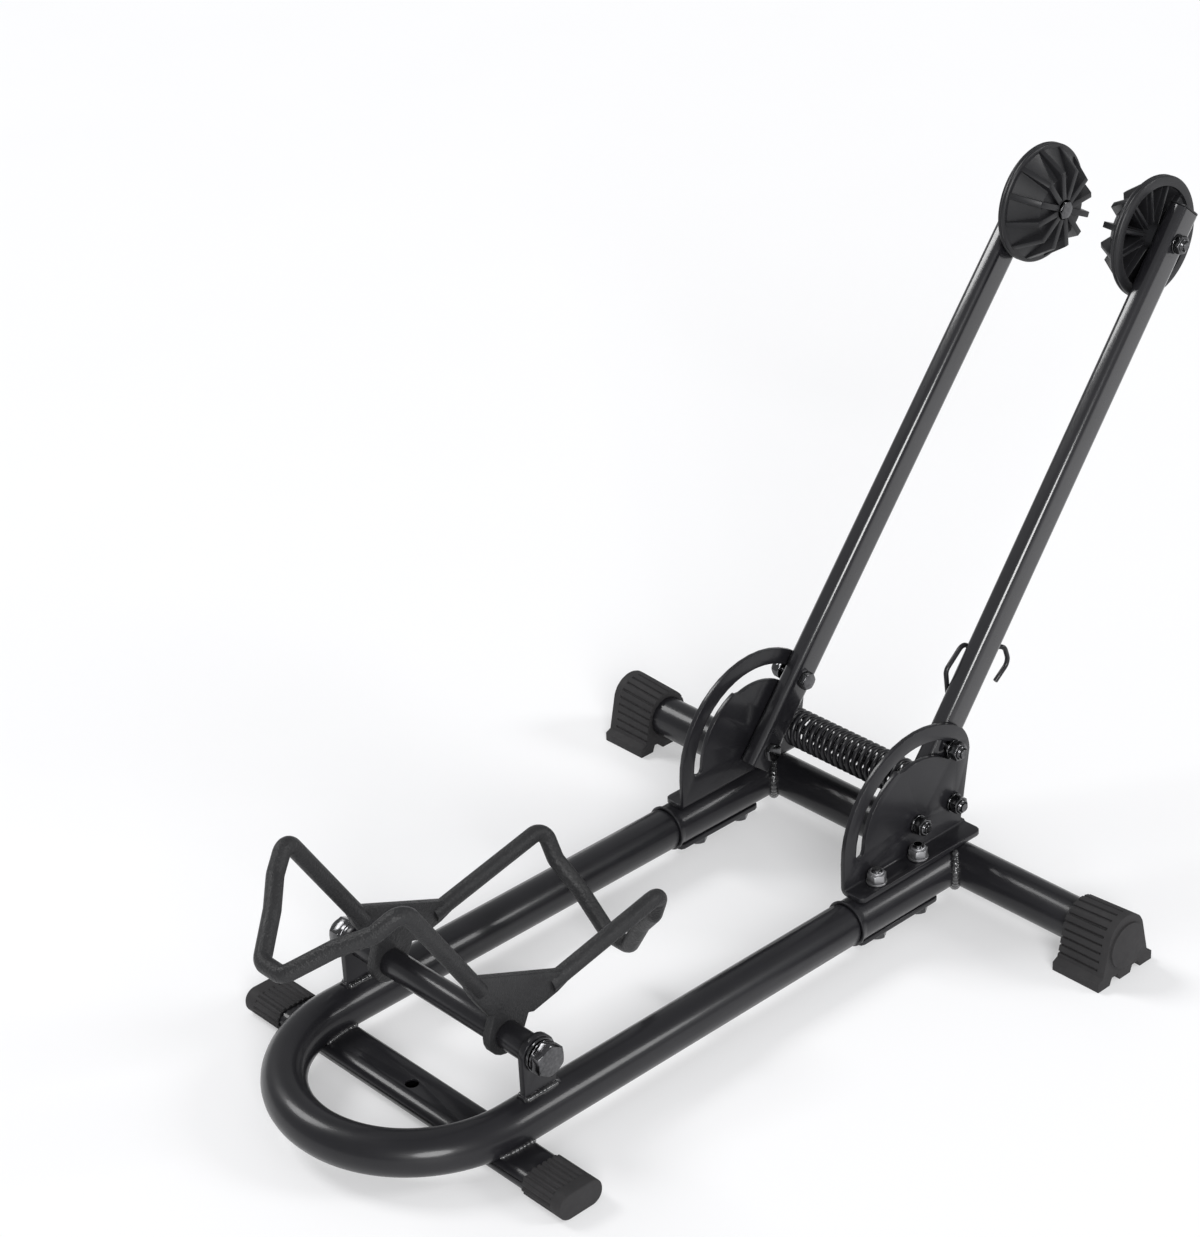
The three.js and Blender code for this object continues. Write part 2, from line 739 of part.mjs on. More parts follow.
/** The spring's centreline along +X: its ends run straight and square to the two plates. */
function springRoute() {
  const half = plateInner - fitGap;
  const radius = (springDiameter - springWire) / 2;
  const wound = 2 * (half - springWire);
  const stepsPerTurn = 8;
  const steps = springTurns * stepsPerTurn;
  const points = [[-half, radius, 0]];
  for (let i = 0; i <= steps; i += 1) {
    const angle = (2 * Math.PI * i) / stepsPerTurn;
    const x = -wound / 2 + (wound * i) / steps;
    points.push([x, radius * Math.cos(angle), radius * Math.sin(angle)]);
  }
  points.push([half, radius, 0]);
  return points;
}

/** The least air between turns of a spring, measured on its centreline's points. */
function springGap(points) {
  const route = points.map((p) => new THREE.Vector3(...p));
  let least = Infinity;
  route.forEach((p, i) => {
    for (let k = i + 5; k < route.length; k += 1) least = Math.min(least, p.distanceTo(route[k]));
  });
  return least - springWire;
}

// ---------------------------------------------------------------- arms
// An arm's pieces are drawn upright about its pivot: +X outwards, +Y rearward, +Z up the arm.

function armTube() {
  const outer = roundedBox([0, 0], armThickness, armDepth, armCorner, 2);
  const boreCorner = armCorner - armWall;
  const [boreThickness, boreDepth] = [armThickness - 2 * armWall, armDepth - 2 * armWall];
  const inner = roundedBox([0, 0], boreThickness, boreDepth, boreCorner, 2);
  const tube = prism(shapeOf(outer, [inner]), "z", -armTail, armReach);
  const across = (at) => rodAlong("x", [0, at], m6.radius + fitGap, -armThickness, armThickness);
  return cut(tube, across(0), across(guideRadius), across(discReach));
}

/** The plug in an arm's top end, with a lid that covers the tube's wall. */
function armPlug() {
  const play = armWall + fitGap;
  const [width, depth] = [armThickness - 2 * play, armDepth - 2 * play];
  const stem = roundedBox([0, 0], width, depth, armCorner - play, 2);
  const lid = roundedBox([0, 0], armThickness, armDepth, armCorner, 2);
  const seat = armReach + fitGap;
  return join(
    prism(shapeOf(stem), "z", armReach - plugDepth, seat + 0.5),
    prism(shapeOf(lid), "z", seat, seat + 1.2),
  );
}

/** A wheel disc about its own bolt, +Z outwards to the arm, whose inner face is at z = 0. */
function disc() {
  const rimOuter = -discStandOff;
  const rimInner = rimOuter - discRimWidth;
  const rimMiddle = (rimOuter + rimInner) / 2;
  const rimBore = discRadius - discRimDepth;
  const tip = rimInner - finReach;
  const coneTip = tip + finStep;
  const hubFace = -fitGap;
  const groove = discRadius - discGrooveDepth;
  const shell = turned(
    [
      [m6.radius + fitGap, coneTip],
      [coneTipRadius, coneTip],
      [rimBore + 3, rimInner],
      [groove, rimInner],
      [discRadius, rimInner + 1],
      [discRadius, rimMiddle - 0.9],
      [groove, rimMiddle],
      [discRadius, rimMiddle + 0.9],
      [discRadius, rimOuter - 1],
      [groove, rimOuter],
      [rimBore, rimOuter],
      [rimBore, rimInner + discShell],
      [coneTipRadius - 1, coneTip + discShell],
      [hubRadius, coneTip + discShell],
      [hubRadius, hubFace],
      [m6.radius + fitGap, hubFace],
    ],
    discSides,
  );
  const half = finThickness / 2;
  const finProfile = shapeOf([
    [hubRadius - 2, tip],
    [finTipRadius, tip],
    [discRadius - 1.5, rimInner + 0.5],
    [hubRadius - 2, rimInner + 0.5],
  ]);
  const backProfile = shapeOf([
    [hubRadius - 2, coneTip + 1],
    [coneTipRadius - 2, coneTip + 1],
    [rimBore + 1, rimInner + 1],
    [rimBore + 1, rimOuter - 1.5],
    [hubRadius - 2, rimOuter - 1.5],
  ]);
  const fins = [];
  const backs = [];
  for (let i = 0; i < discFins; i += 1) {
    const angle = (2 * Math.PI * (i + 0.5)) / discFins;
    fins.push(prism(finProfile, "y", -half, half).rotateZ(angle));
    backs.push(prism(backProfile, "y", -half / 2, half / 2).rotateZ(angle));
  }
  // The dish behind the shell stays hollow between its ribs, so the fins are kept to its front.
  const dish = turned(
    [
      [0, coneTip + discShell / 2],
      [coneTipRadius - 0.5, coneTip + discShell / 2],
      [rimBore + 1, rimInner + discShell / 2],
      [rimBore + 1, rimOuter + 1],
      [0, rimOuter + 1],
    ],
    discSides,
  );
  const front = cut(join(...fins), dish);
  const bore = rod(m6.radius + fitGap, tip - 1, 1);
  return cut(join(shell, front, ...backs), bore);
}

/** The wire hook on the right arm: a loop on its inner face and a hook behind its rear edge. */
function hook() {
  const half = armDepth / 2;
  const beside = -armThickness / 2 - hookWire / 2 - fitGap;
  const corners = [
    [beside, -2, hookReach - 31],
    [beside, -half - 3.2, hookReach - 20],
    [beside, -half + 1, hookReach - 2],
    [beside, half + hookWire, hookReach],
    [0, half + 9, hookReach + 8],
    [0, half + 20, hookReach + 1],
    [0, half + 16, hookReach - 13],
  ];
  const curve = bentRoute(corners, [5, 5, 4, 4, 6], 3);
  return tubeAlong(curve, hookWire / 2, 8);
}

// ---------------------------------------------------------------- cradle
// Drawn level about its shaft: +X right, +Y rearward, +Z up.

function gussetOutline(grow) {
  const half = gussetHalfLength + grow;
  const top = gussetTop + grow;
  const eye = gussetEyeRadius + grow;
  const right = [
    [half - 1.5, top],
    [half, top - 3.5],
    [half - 8.5, top - 12],
    [half - 23, top - 22.3 - grow],
    [eye + 0.4, top - 22.5 - grow],
    [eye, 0],
  ];
  return [
    ...arc([0, 0], eye, 180, 360, 10),
    ...right.slice(0, -1).reverse(),
    ...right.slice(0, -1).map(([u, v]) => [-u, v]),
  ];
}

function gusset() {
  const half = gussetThickness / 2;
  const hole = arc([0, 0], m10.radius + fitGap, 0, 330, 11);
  const span = [cradleHalfWidth - half, cradleHalfWidth + half];
  return prism(shapeOf(gussetOutline(0), [hole]), "x", ...span);
}

/** One wire loop, drawn for the rear end of the cradle. */
function cradleLoop() {
  const start = [cradleHalfWidth, gussetHalfLength - 14, gussetTop - cradleWire / 2 - 3.5];
  const right = [
    start,
    [cradleHalfWidth, loopCorner.reach, loopCorner.height],
    ...[loopShoulder, loopWaist, loopDip].map(({ half, reach, height }) => [half, reach, height]),
  ];
  const left = right.map(([x, y, z]) => [-x, y, z]).reverse();
  const bends = [loopCorner, loopShoulder, loopWaist, loopDip].map(({ bend }) => bend);
  const route = bentRoute([...right, ...left], [...bends, ...bends.slice().reverse()], 4);
  const wire = tubeAlong(route, cradleWire / 2, wireSides);
  const half = gussetThickness / 2 + fitGap;
  const slotSpan = [cradleHalfWidth - half, cradleHalfWidth + half];
  const slot = prism(shapeOf(gussetOutline(fitGap)), "x", ...slotSpan);
  return cut(wire, slot, mirrored(slot));
}

/** A plain tube along X over the shaft. */
function sleeve(from, to) {
  const bore = m10.radius + fitGap;
  const radius = shaftTubeDiameter / 2;
  return alongX(
    turned(
      [
        [bore, from],
        [radius, from],
        [radius, to],
        [bore, to],
      ],
      16,
    ),
  );
}

// ---------------------------------------------------------------- assembly

const rack = new THREE.Group();

function buildBase() {
  const base = new THREE.Group();
  rack.add(base);
  place(base, "front_tube", frontTube(), powderCoat);
  place(base, "rear_cross_tube", crossTube(), powderCoat);
  place(base, "front_bar", frontBar(), powderCoat);
  const pieces = [
    ["stub_tube", stubTube(), powderCoat],
    ["rear_foot", rearFoot(), rubber],
    ["front_cap", frontCap(), rubber],
    ["shaft_tab", tab(), powderCoat],
    ["bracket", bracket(), powderCoat],
    ["clamp_strip", clampStrip(), powderCoat],
  ];
  for (const side of sides) {
    for (const [name, geometry, coat] of pieces) {
      place(base, `${side.name}_${name}`, side.own(geometry), coat);
    }
  }
}

function buildBaseFasteners() {
  const stripBottom = tubeHeight - tubeRadius - fitGap - stripThickness;
  const flangeBolt = hexBolt(m6, boltLength(m6, flangeTop - stripBottom));
  const nut = lockNut(m6);
  for (const side of sides) {
    flangeBoltAhead.forEach((ahead, i) => {
      const which = `${side.name}_${["front", "rear"][i]}_flange`;
      const bolt = place(rack, `${which}_bolt`, flangeBolt, darkZinc);
      bolt.position.set(side.sign * legX, -ahead, stripBottom - fitGap);
      const flangeNut = place(rack, `${which}_nut`, nut, brightZinc);
      flangeNut.position.set(side.sign * legX, -ahead, flangeTop + fitGap);
    });
    const armInner = armCentre - armThickness / 2;
    const pivotBolt = hexBolt(m6, boltLength(m6, plateOuter - armInner));
    const bolt = place(rack, `${side.name}_pivot_bolt`, alongX(pivotBolt, side.sign), darkZinc);
    bolt.position.set(side.sign * (armInner - fitGap), ...pivot);
    const pivotNut = place(rack, `${side.name}_pivot_nut`, alongX(nut, side.sign), darkZinc);
    pivotNut.position.set(side.sign * (plateOuter + fitGap), ...pivot);
    const rodNut = place(rack, `${side.name}_rod_nut`, alongX(nut, side.sign), darkZinc);
    rodNut.position.set(side.sign * (plateOuter + fitGap), ...rodAt);
  }
  const rodEnd = plateOuter + fitGap + nutHeight(m6) + threadPast;
  const crossRod = place(rack, "cross_rod", alongX(rod(m6.radius, -rodEnd, rodEnd)), darkZinc);
  crossRod.position.set(0, ...rodAt);
  const route = springRoute();
  const spring = place(rack, "rod_spring", tubeAlong(route, springWire / 2, 5), powderCoat);
  spring.position.set(0, ...rodAt);
  console.log(`rod_spring: least gap between turns ${springGap(route).toFixed(2)} mm`);
}

function buildArms() {
  const tube = armTube();
  const plug = armPlug();
  const plate = disc();
  const nut = lockNut(m6);
  const discNut = lockNut(m6Thin);
  const guideDrift = guideRadius * Math.sin(degrees(armToe));
  const guideGrip = armThickness + runningGap + guideDrift + plateThickness;
  const guideBolt = hexBolt(m6, boltLength(m6, guideGrip));
  const discTip = discStandOff + discRimWidth + finReach;
  const discGrip = discTip - finStep + armThickness;
  const discBolt = hexBolt(m6, boltLength(m6Thin, discGrip));
  for (const side of sides) {
    const arm = new THREE.Group();
    arm.position.set(side.sign * armCentre, ...pivot);
    arm.rotation.set(-degrees(armLean), -side.sign * degrees(armToe), 0);
    rack.add(arm);
    const outwards = (geometry) => alongX(geometry, side.sign);
    place(arm, `${side.name}_arm`, tube, powderCoat);
    place(arm, `${side.name}_arm_plug`, plug, plastic);
    const put = (name, geometry, x, z, coat) =>
      place(arm, `${side.name}_${name}`, outwards(geometry), coat).position.set(side.sign * x, 0, z);
    const half = armThickness / 2;
    put("guide_bolt", guideBolt, -half - fitGap, guideRadius, darkZinc);
    put("guide_nut", nut, guideGrip - half + 1.2 * fitGap, guideRadius, darkZinc);
    put("disc", plate, -half, discReach, plastic);
    put("disc_bolt", discBolt, -half - discTip + finStep - fitGap, discReach, darkZinc);
    put("disc_nut", discNut, half + fitGap, discReach, darkZinc);
    if (side.name === "right") place(arm, "arm_hook", hook(), powderCoat);
  }
}

function buildCradle() {
  const shaftLine = new THREE.Group();
  shaftLine.position.set(0, ...shaftAt);
  rack.add(shaftLine);
  const cradle = new THREE.Group();
  cradle.rotation.x = -degrees(cradleTilt);
  shaftLine.add(cradle);

  const rearLoop = cradleLoop();
  place(cradle, "rear_cradle_loop", rearLoop, wrinkleCoat);
  place(cradle, "front_cradle_loop", rearLoop.clone().rotateZ(Math.PI), wrinkleCoat);
  const plate = gusset();
  for (const side of sides) place(cradle, `${side.name}_gusset`, side.own(plate), wrinkleCoat);
  const gussetInner = cradleHalfWidth - gussetThickness / 2;
  const gussetOuter = cradleHalfWidth + gussetThickness / 2;
  const cradleTube = sleeve(-gussetInner + fitGap, gussetInner - fitGap);
  place(cradle, "cradle_tube", cradleTube, powderCoat);

  const tabInner = legX - tabThickness / 2;
  const tabOuter = legX + tabThickness / 2;
  const spacer = sleeve(gussetOuter + fitGap, tabInner - fitGap);
  const ring = alongX(washer(m10)).translate(tabOuter + fitGap, 0, 0);
  for (const side of sides) {
    place(shaftLine, `${side.name}_spacer`, side.own(spacer), powderCoat);
    place(shaftLine, `${side.name}_shaft_washer`, side.own(ring), darkZinc);
  }
  const headFace = tabOuter + 2 * fitGap + m10.washerThickness;
  const underHead = rod(m10.washer * 0.95, 0, m10.washerThickness * 0.6, 20);
  const shank = boltLength(m10, 2 * headFace);
  const bolt = join(hexBolt(m10, shank), underHead);
  const boltMesh = place(shaftLine, "shaft_bolt", alongX(bolt, -1), darkZinc);
  boltMesh.position.x = headFace + m10.washerThickness * 0.6;
  const nutMesh = place(shaftLine, "shaft_nut", alongX(lockNut(m10), -1), darkZinc);
  nutMesh.position.x = -headFace;
}

buildBase();
buildBaseFasteners();
buildArms();
buildCradle();

// The origin goes to the floor under the middle of the outline: the front of the front tube's
// bend, and the rear of the leaning discs.
const frontReach = bendAhead + legX + tubeRadius;
const rearReach = leaning(pivot, discReach, armLean)[0] + discRadius;
rack.position.y = (frontReach - rearReach) / 2;

const part = new THREE.Group();
part.add(rack);
export default part;
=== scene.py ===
"""Looks of a folding floor rack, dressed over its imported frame.

Sizes are in millimetres in the layout of the rack: +X right, +Y rearward, +Z up, the floor at
z = 0 and the rear cross tube's axis at y = 0. A Bench turns them into Blender's metres.
"""

from __future__ import annotations

import logging
import math
from dataclasses import dataclass
from enum import Enum

import bpy
from mathutils import Matrix, Vector

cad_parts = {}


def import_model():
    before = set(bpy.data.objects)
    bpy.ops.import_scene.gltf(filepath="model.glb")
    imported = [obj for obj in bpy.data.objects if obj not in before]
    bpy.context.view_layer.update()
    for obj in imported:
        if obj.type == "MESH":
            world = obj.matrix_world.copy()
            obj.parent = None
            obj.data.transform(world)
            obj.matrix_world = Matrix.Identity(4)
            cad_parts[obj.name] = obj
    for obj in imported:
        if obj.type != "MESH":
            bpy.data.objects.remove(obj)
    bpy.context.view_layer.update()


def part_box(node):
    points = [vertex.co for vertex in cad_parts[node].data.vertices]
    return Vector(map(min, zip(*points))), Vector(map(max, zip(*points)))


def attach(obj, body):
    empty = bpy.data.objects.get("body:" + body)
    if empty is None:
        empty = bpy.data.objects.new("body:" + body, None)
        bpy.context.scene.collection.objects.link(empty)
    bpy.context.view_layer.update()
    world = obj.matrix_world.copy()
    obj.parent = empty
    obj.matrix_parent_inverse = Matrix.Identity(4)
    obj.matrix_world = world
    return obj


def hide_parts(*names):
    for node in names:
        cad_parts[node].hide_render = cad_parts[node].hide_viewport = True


Point = tuple[float, float, float]
Flat = tuple[float, float]
Colour = tuple[float, float, float]

Piece = bpy.types.Object

MM = 0.001
LEG = 73.5  # x of the frame's two legs
PIVOT: Flat = (-24.6, 54.0)  # y and z of the arms' pivots
SHAFT: Flat = (-325.0, 57.5)  # y and z of the cradle's shaft
GAP = 0.3  # air between two pieces where one bears on the other

COAT_ROUGHNESS = 0.13
PATCHES_PER_BLOTCH = 2.7  # patches of sheen for each blotch of colour
CELLS_PER_GRAIN = 0.6
CELL_DEPTH = 0.7  # how far wrinkles cut into the grain

log = logging.getLogger("rack")


class Side(Enum):
    """The two sides of the rack, seen from behind its arms."""

    RIGHT = 1
    LEFT = -1

    @property
    def word(self) -> str:
        """Name of the side as the nodes spell it."""
        return self.name.lower()


class Grain(Enum):
    """How a surface is uneven."""

    ORANGE_PEEL = "orange peel"
    WRINKLE = "wrinkle"
    MOULDED = "moulded"
    PLATED = "plated"
    SMOOTH = "smooth"


# ------------------------------------------------------------------ finishes


@dataclass(frozen=True)
class Finish:
    """A surface finish that becomes one procedural material.

    Attributes:
        name: name of the material.
        slot: material slot of the record that it belongs to; not used.
        deep: colour of the surface's darker parts.
        pale: colour of its lighter parts.
        blotches: colour blotches per metre.
        sheen: lowest and highest roughness.
        metal: 1 for bare metal, 0 otherwise.
        grain: how the surface is uneven.
        grains: grains per metre.
        relief: height of the grain in millimetres.
        coat: weight of a thin glossy layer on top.
        gleam: how strongly the bare surface mirrors, 0.5 for plain plastic.
    """

    name: str
    slot: str
    deep: Colour
    pale: Colour
    blotches: float
    sheen: tuple[float, float]
    metal: float = 0.0
    grain: Grain = Grain.ORANGE_PEEL
    grains: float = 900.0
    relief: float = 0.02
    coat: float = 0.0
    gleam: float = 0.5

    def material(self) -> bpy.types.Material:
        """Build the material, or return it if it is already there.

        Returns:
            The material with its node tree.
        """
        ready = bpy.data.materials.get(self.name)
        if ready:
            return ready
        material = bpy.data.materials.new(self.name)
        material.use_nodes = True
        tree = material.node_tree
        shader = tree.nodes["Principled BSDF"]
        shader.inputs["Metallic"].default_value = self.metal
        shader.inputs["Coat Weight"].default_value = self.coat
        shader.inputs["Coat Roughness"].default_value = COAT_ROUGHNESS
        shader.inputs["Specular IOR Level"].default_value = self.gleam
        place = tree.nodes.new("ShaderNodeTexCoord")
        blotch = self._noise(tree, place, self.blotches, detail=4.0)
        tint = tree.nodes.new("ShaderNodeMix")
        tint.data_type = "RGBA"
        tint.inputs[6].default_value = (*self.deep, 1.0)
        tint.inputs[7].default_value = (*self.pale, 1.0)
        tree.links.new(blotch.outputs["Fac"], tint.inputs[0])
        tree.links.new(tint.outputs[2], shader.inputs["Base Color"])
        gloss = tree.nodes.new("ShaderNodeMapRange")
        gloss.inputs["To Min"].default_value = self.sheen[0]
        gloss.inputs["To Max"].default_value = self.sheen[1]
        patch = self._noise(tree, place, self.blotches * PATCHES_PER_BLOTCH, detail=3.0)
        tree.links.new(patch.outputs["Fac"], gloss.inputs["Value"])
        tree.links.new(gloss.outputs["Result"], shader.inputs["Roughness"])
        if self.grain is not Grain.SMOOTH:
            bump = tree.nodes.new("ShaderNodeBump")
            bump.inputs["Strength"].default_value = 1.0
            bump.inputs["Distance"].default_value = self.relief * MM
            tree.links.new(self._height(tree, place), bump.inputs["Height"])
            tree.links.new(bump.outputs["Normal"], shader.inputs["Normal"])
        return material

    @staticmethod
    def _noise(tree: bpy.types.NodeTree, place: bpy.types.Node, scale: float,
               detail: float) -> bpy.types.Node:
        """Add a noise texture on object coordinates.

        Args:
            tree: the material's node tree.
            place: the texture coordinate node.
            scale: blotches or grains per metre.
            detail: how many finer layers it has.

        Returns:
            The noise node.
        """
        noise = tree.nodes.new("ShaderNodeTexNoise")
        noise.inputs["Scale"].default_value = scale
        noise.inputs["Detail"].default_value = detail
        tree.links.new(place.outputs["Object"], noise.inputs["Vector"])
        return noise

    def _height(self, tree: bpy.types.NodeTree, place: bpy.types.Node) -> bpy.types.NodeSocket:
        """Height of the grain.

        Args:
            tree: the material's node tree.
            place: the texture coordinate node.

        Returns:
            A socket with the height, from 0 to 1.
        """
        fine = self._noise(tree, place, self.grains, detail=2.0)
        if self.grain is not Grain.WRINKLE:
            return fine.outputs["Fac"]
        cells = tree.nodes.new("ShaderNodeTexVoronoi")
        cells.feature = "SMOOTH_F1"
        cells.inputs["Scale"].default_value = self.grains * CELLS_PER_GRAIN
        tree.links.new(place.outputs["Object"], cells.inputs["Vector"])
        both = tree.nodes.new("ShaderNodeMath")
        both.operation = "MULTIPLY_ADD"
        both.inputs[1].default_value = -CELL_DEPTH
        tree.links.new(cells.outputs["Distance"], both.inputs[0])
        tree.links.new(fine.outputs["Fac"], both.inputs[2])
        return both.outputs["Value"]


POWDER_COAT = Finish(
    "satin_powder_coat", "powder_coat", (0.008, 0.008, 0.0095), (0.015, 0.0145, 0.017), 45, (0.29, 0.4),
    grains=1300, relief=0.02, coat=0.25, gleam=0.24,
)
ARM_COAT = Finish(
    "glossy_arm_coat", "powder_coat", (0.008, 0.008, 0.0095), (0.014, 0.0135, 0.016), 60, (0.24, 0.34),
    grains=1100, relief=0.012, coat=0.9, gleam=0.24,
)
WRINKLE_COAT = Finish(
    "wrinkled_coat", "wrinkle_coat", (0.013, 0.013, 0.014), (0.026, 0.026, 0.027), 60, (0.36, 0.54),
    grain=Grain.WRINKLE, grains=950, relief=0.4, gleam=0.3,
)
FOOT_RUBBER = Finish(
    "foot_rubber", "rubber", (0.02, 0.019, 0.02), (0.031, 0.03, 0.031), 110, (0.6, 0.8),
    grain=Grain.MOULDED, grains=1500, relief=0.05, gleam=0.3,
)
DISC_PLASTIC = Finish(
    "disc_plastic", "plastic", (0.009, 0.009, 0.01), (0.018, 0.018, 0.02), 50, (0.32, 0.46),
    grain=Grain.MOULDED, grains=2200, relief=0.02, gleam=0.3,
)
BLACK_ZINC = Finish(
    "black_zinc", "dark_zinc", (0.04, 0.04, 0.042), (0.17, 0.17, 0.175), 500, (0.1, 0.24), metal=1.0,
    grain=Grain.PLATED, grains=2500, relief=0.02,
)
BRIGHT_ZINC = Finish(
    "bright_zinc", "bright_zinc", (0.06, 0.06, 0.064), (0.2, 0.2, 0.208), 500, (0.1, 0.22), metal=1.0,
    grain=Grain.PLATED, grains=2500, relief=0.02,
)
WELD_METAL = Finish(
    "coated_weld", "powder_coat", (0.014, 0.014, 0.015), (0.05, 0.05, 0.052), 300, (0.05, 0.14), metal=0.4,
    grains=520, relief=0.8, coat=1.0,
)
PALE_FLOOR = Finish(
    "studio_floor", "floor", (0.94, 0.94, 0.955), (0.955, 0.955, 0.965), 3, (0.5, 0.6), grain=Grain.SMOOTH
)


# ------------------------------------------------------------------ bench


class Bench:
    """Modelling steps by operator. Each piece starts as a primitive and ends at the origin.

    Attributes:
        rear_axis: y of the rear cross tube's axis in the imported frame, in metres.
        seam: corners of a new piece as near as this are one, in millimetres.
        node_seam: the same for the corners of a node of the frame.
    """

    rear_axis: float = 0.0
    seam: float = 0.002
    node_seam: float = 0.005

    @classmethod
    def layout(cls) -> Matrix:
        """Matrix from the layout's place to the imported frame's, both in metres."""
        return Matrix.Translation((0.0, cls.rear_axis, 0.0))

    @staticmethod
    def clear() -> None:
        """Leave edit mode and select nothing."""
        if bpy.context.object and bpy.context.object.mode != "OBJECT":
            bpy.ops.object.mode_set(mode="OBJECT")
        bpy.ops.object.select_all(action="DESELECT")

    @classmethod
    def hold(cls, piece: Piece) -> Piece:
        """Make a piece the only selected and active object.

        Args:
            piece: the piece.

        Returns:
            The same piece.
        """
        cls.clear()
        piece.select_set(True)
        bpy.context.view_layer.objects.active = piece
        return piece

    @classmethod
    def edit(cls, piece: Piece) -> None:
        """Open a piece in edit mode with all of it selected.

        Args:
            piece: the piece.
        """
        cls.hold(piece)
        bpy.ops.object.mode_set(mode="EDIT")
        bpy.ops.mesh.select_all(action="SELECT")

    @staticmethod
    def close() -> None:
        """Leave edit mode."""
        bpy.ops.object.mode_set(mode="OBJECT")

    @classmethod
    def tidy(cls, piece: Piece) -> Piece:
        """Close seams and poles and turn all faces outwards.

        Args:
            piece: a closed mesh.

        Returns:
            The same piece.
        """
        cls.edit(piece)
        bpy.ops.mesh.remove_doubles(threshold=cls.seam * MM)
        bpy.ops.mesh.delete_loose()
        bpy.ops.mesh.select_all(action="SELECT")
        bpy.ops.mesh.normals_make_consistent(inside=False)
        cls.close()
        return piece

    @classmethod
    def outline(cls, name: str, points: list[Point], filled: bool) -> Piece:
        """A ring of edges on given points, with a face in it or without.

        Args:
            name: name of the piece.
            points: corners in millimetres.
            filled: whether a face closes the ring.

        Returns:
            The new piece.
        """
        cls.clear()
        fill = "NGON" if filled else "NOTHING"
        bpy.ops.mesh.primitive_circle_add(vertices=len(points), radius=0.01, fill_type=fill)
        piece = bpy.context.active_object
        piece.name = piece.data.name = name
        for vertex, point in zip(piece.data.vertices, points):
            vertex.co = Vector(point) * MM
        return piece

    @classmethod
    def extruded(cls, name: str, points: list[Point], along: Point) -> Piece:
        """A plate or bar: a filled outline pushed along a line.

        Args:
            name: name of the piece.
            points: corners of its outline in millimetres.
            along: how far and which way it is pushed, in millimetres.

        Returns:
            The closed piece.
        """
        piece = cls.outline(name, points, filled=True)
        cls.edit(piece)
        push = {"value": tuple(Vector(along) * MM), "orient_type": "GLOBAL"}
        bpy.ops.mesh.extrude_region_move(TRANSFORM_OT_translate=push)
        cls.close()
        return cls.tidy(piece)

    @classmethod
    def turned(cls, name: str, profile: list[Flat], steps: int = 48) -> Piece:
        """A piece turned about +Z from a closed profile.

        Args:
            name: name of the piece.
            profile: radius and height of each corner, in millimetres.
            steps: how many steps go round.

        Returns:
            The closed piece.
        """
        piece = cls.outline(name, [(radius, 0.0, height) for radius, height in profile], filled=False)
        cls.edit(piece)
        bpy.ops.mesh.spin(steps=steps, angle=2 * math.pi, center=(0, 0, 0), axis=(0, 0, 1))
        cls.close()
        return cls.tidy(piece)

    @classmethod
    def wire(cls, name: str, points: list[Point], radius: float, rings: int = 5,
             swell: list[float] | None = None) -> Piece:
        """A round wire along points.

        Args:
            name: name of the piece.
            points: its centreline in millimetres.
            radius: its radius in millimetres.
            rings: how finely it is round.
            swell: factor on the radius at each point.

        Returns:
            The closed piece.
        """
        cls.clear()
        bpy.ops.curve.primitive_bezier_curve_add()
        rail = bpy.context.active_object
        rail.name = rail.data.name = name
        rail.data.splines.clear()
        spline = rail.data.splines.new("POLY")
        spline.points.add(len(points) - 1)
        for i, point in enumerate(points):
            spline.points[i].co = (*(Vector(point) * MM), 1.0)
            spline.points[i].radius = swell[i] if swell else 1.0
        rail.data.dimensions = "3D"
        rail.data.bevel_depth = radius * MM
        rail.data.bevel_resolution = rings
        rail.data.use_fill_caps = True
        bpy.ops.object.convert(target="MESH")
        return cls.tidy(bpy.context.active_object)

    @classmethod
    def drilled(cls, piece: Piece, cutter: Piece, keep: bool = False) -> Piece:
        """Cut a piece by another, which is used up.

        Args:
            piece: what is cut.
            cutter: what cuts it.
            keep: keep what both share instead.

        Returns:
            The cut piece.
        """
        cls.hold(piece)
        cutting = piece.modifiers.new("cut", "BOOLEAN")
        cutting.operation = "INTERSECT" if keep else "DIFFERENCE"
        cutting.solver = "EXACT"
        cutting.object = cutter
        bpy.ops.object.modifier_apply(modifier=cutting.name)
        bpy.data.objects.remove(cutter)
        return piece

    @classmethod
    def eased(cls, piece: Piece, width: float, segments: int = 2, corner: float = 35) -> Piece:
        """Round a piece's edges a little and shade it smoothly.

        Args:
            piece: the piece.
            width: how wide the rounding is, in millimetres.
            segments: steps across it.
            corner: angle in degrees from which an edge is rounded.

        Returns:
            The same piece.
        """
        cls.hold(piece)
        if width > 0:
            bevel = piece.modifiers.new("ease", "BEVEL")
            bevel.width = width * MM
            bevel.segments = segments
            bevel.limit_method = "ANGLE"
            bevel.angle_limit = math.radians(corner)
            bevel.use_clamp_overlap = True
            bpy.ops.object.modifier_apply(modifier=bevel.name)
        bpy.ops.object.shade_smooth_by_angle(angle=math.radians(corner))
        return piece

    @classmethod
    def laid(cls, piece: Piece, matrix: Matrix) -> Piece:
        """Move a piece by a matrix and apply its place to its mesh.

        Args:
            piece: the piece as drawn.
            matrix: where it goes.

        Returns:
            The same piece, with its place in its mesh.
        """
        cls.hold(piece)
        piece.matrix_world = matrix
        bpy.ops.object.transform_apply(location=True, rotation=True, scale=True)
        if matrix.determinant() < 0:
            cls.edit(piece)
            bpy.ops.mesh.normals_make_consistent(inside=False)
            cls.close()
        return piece

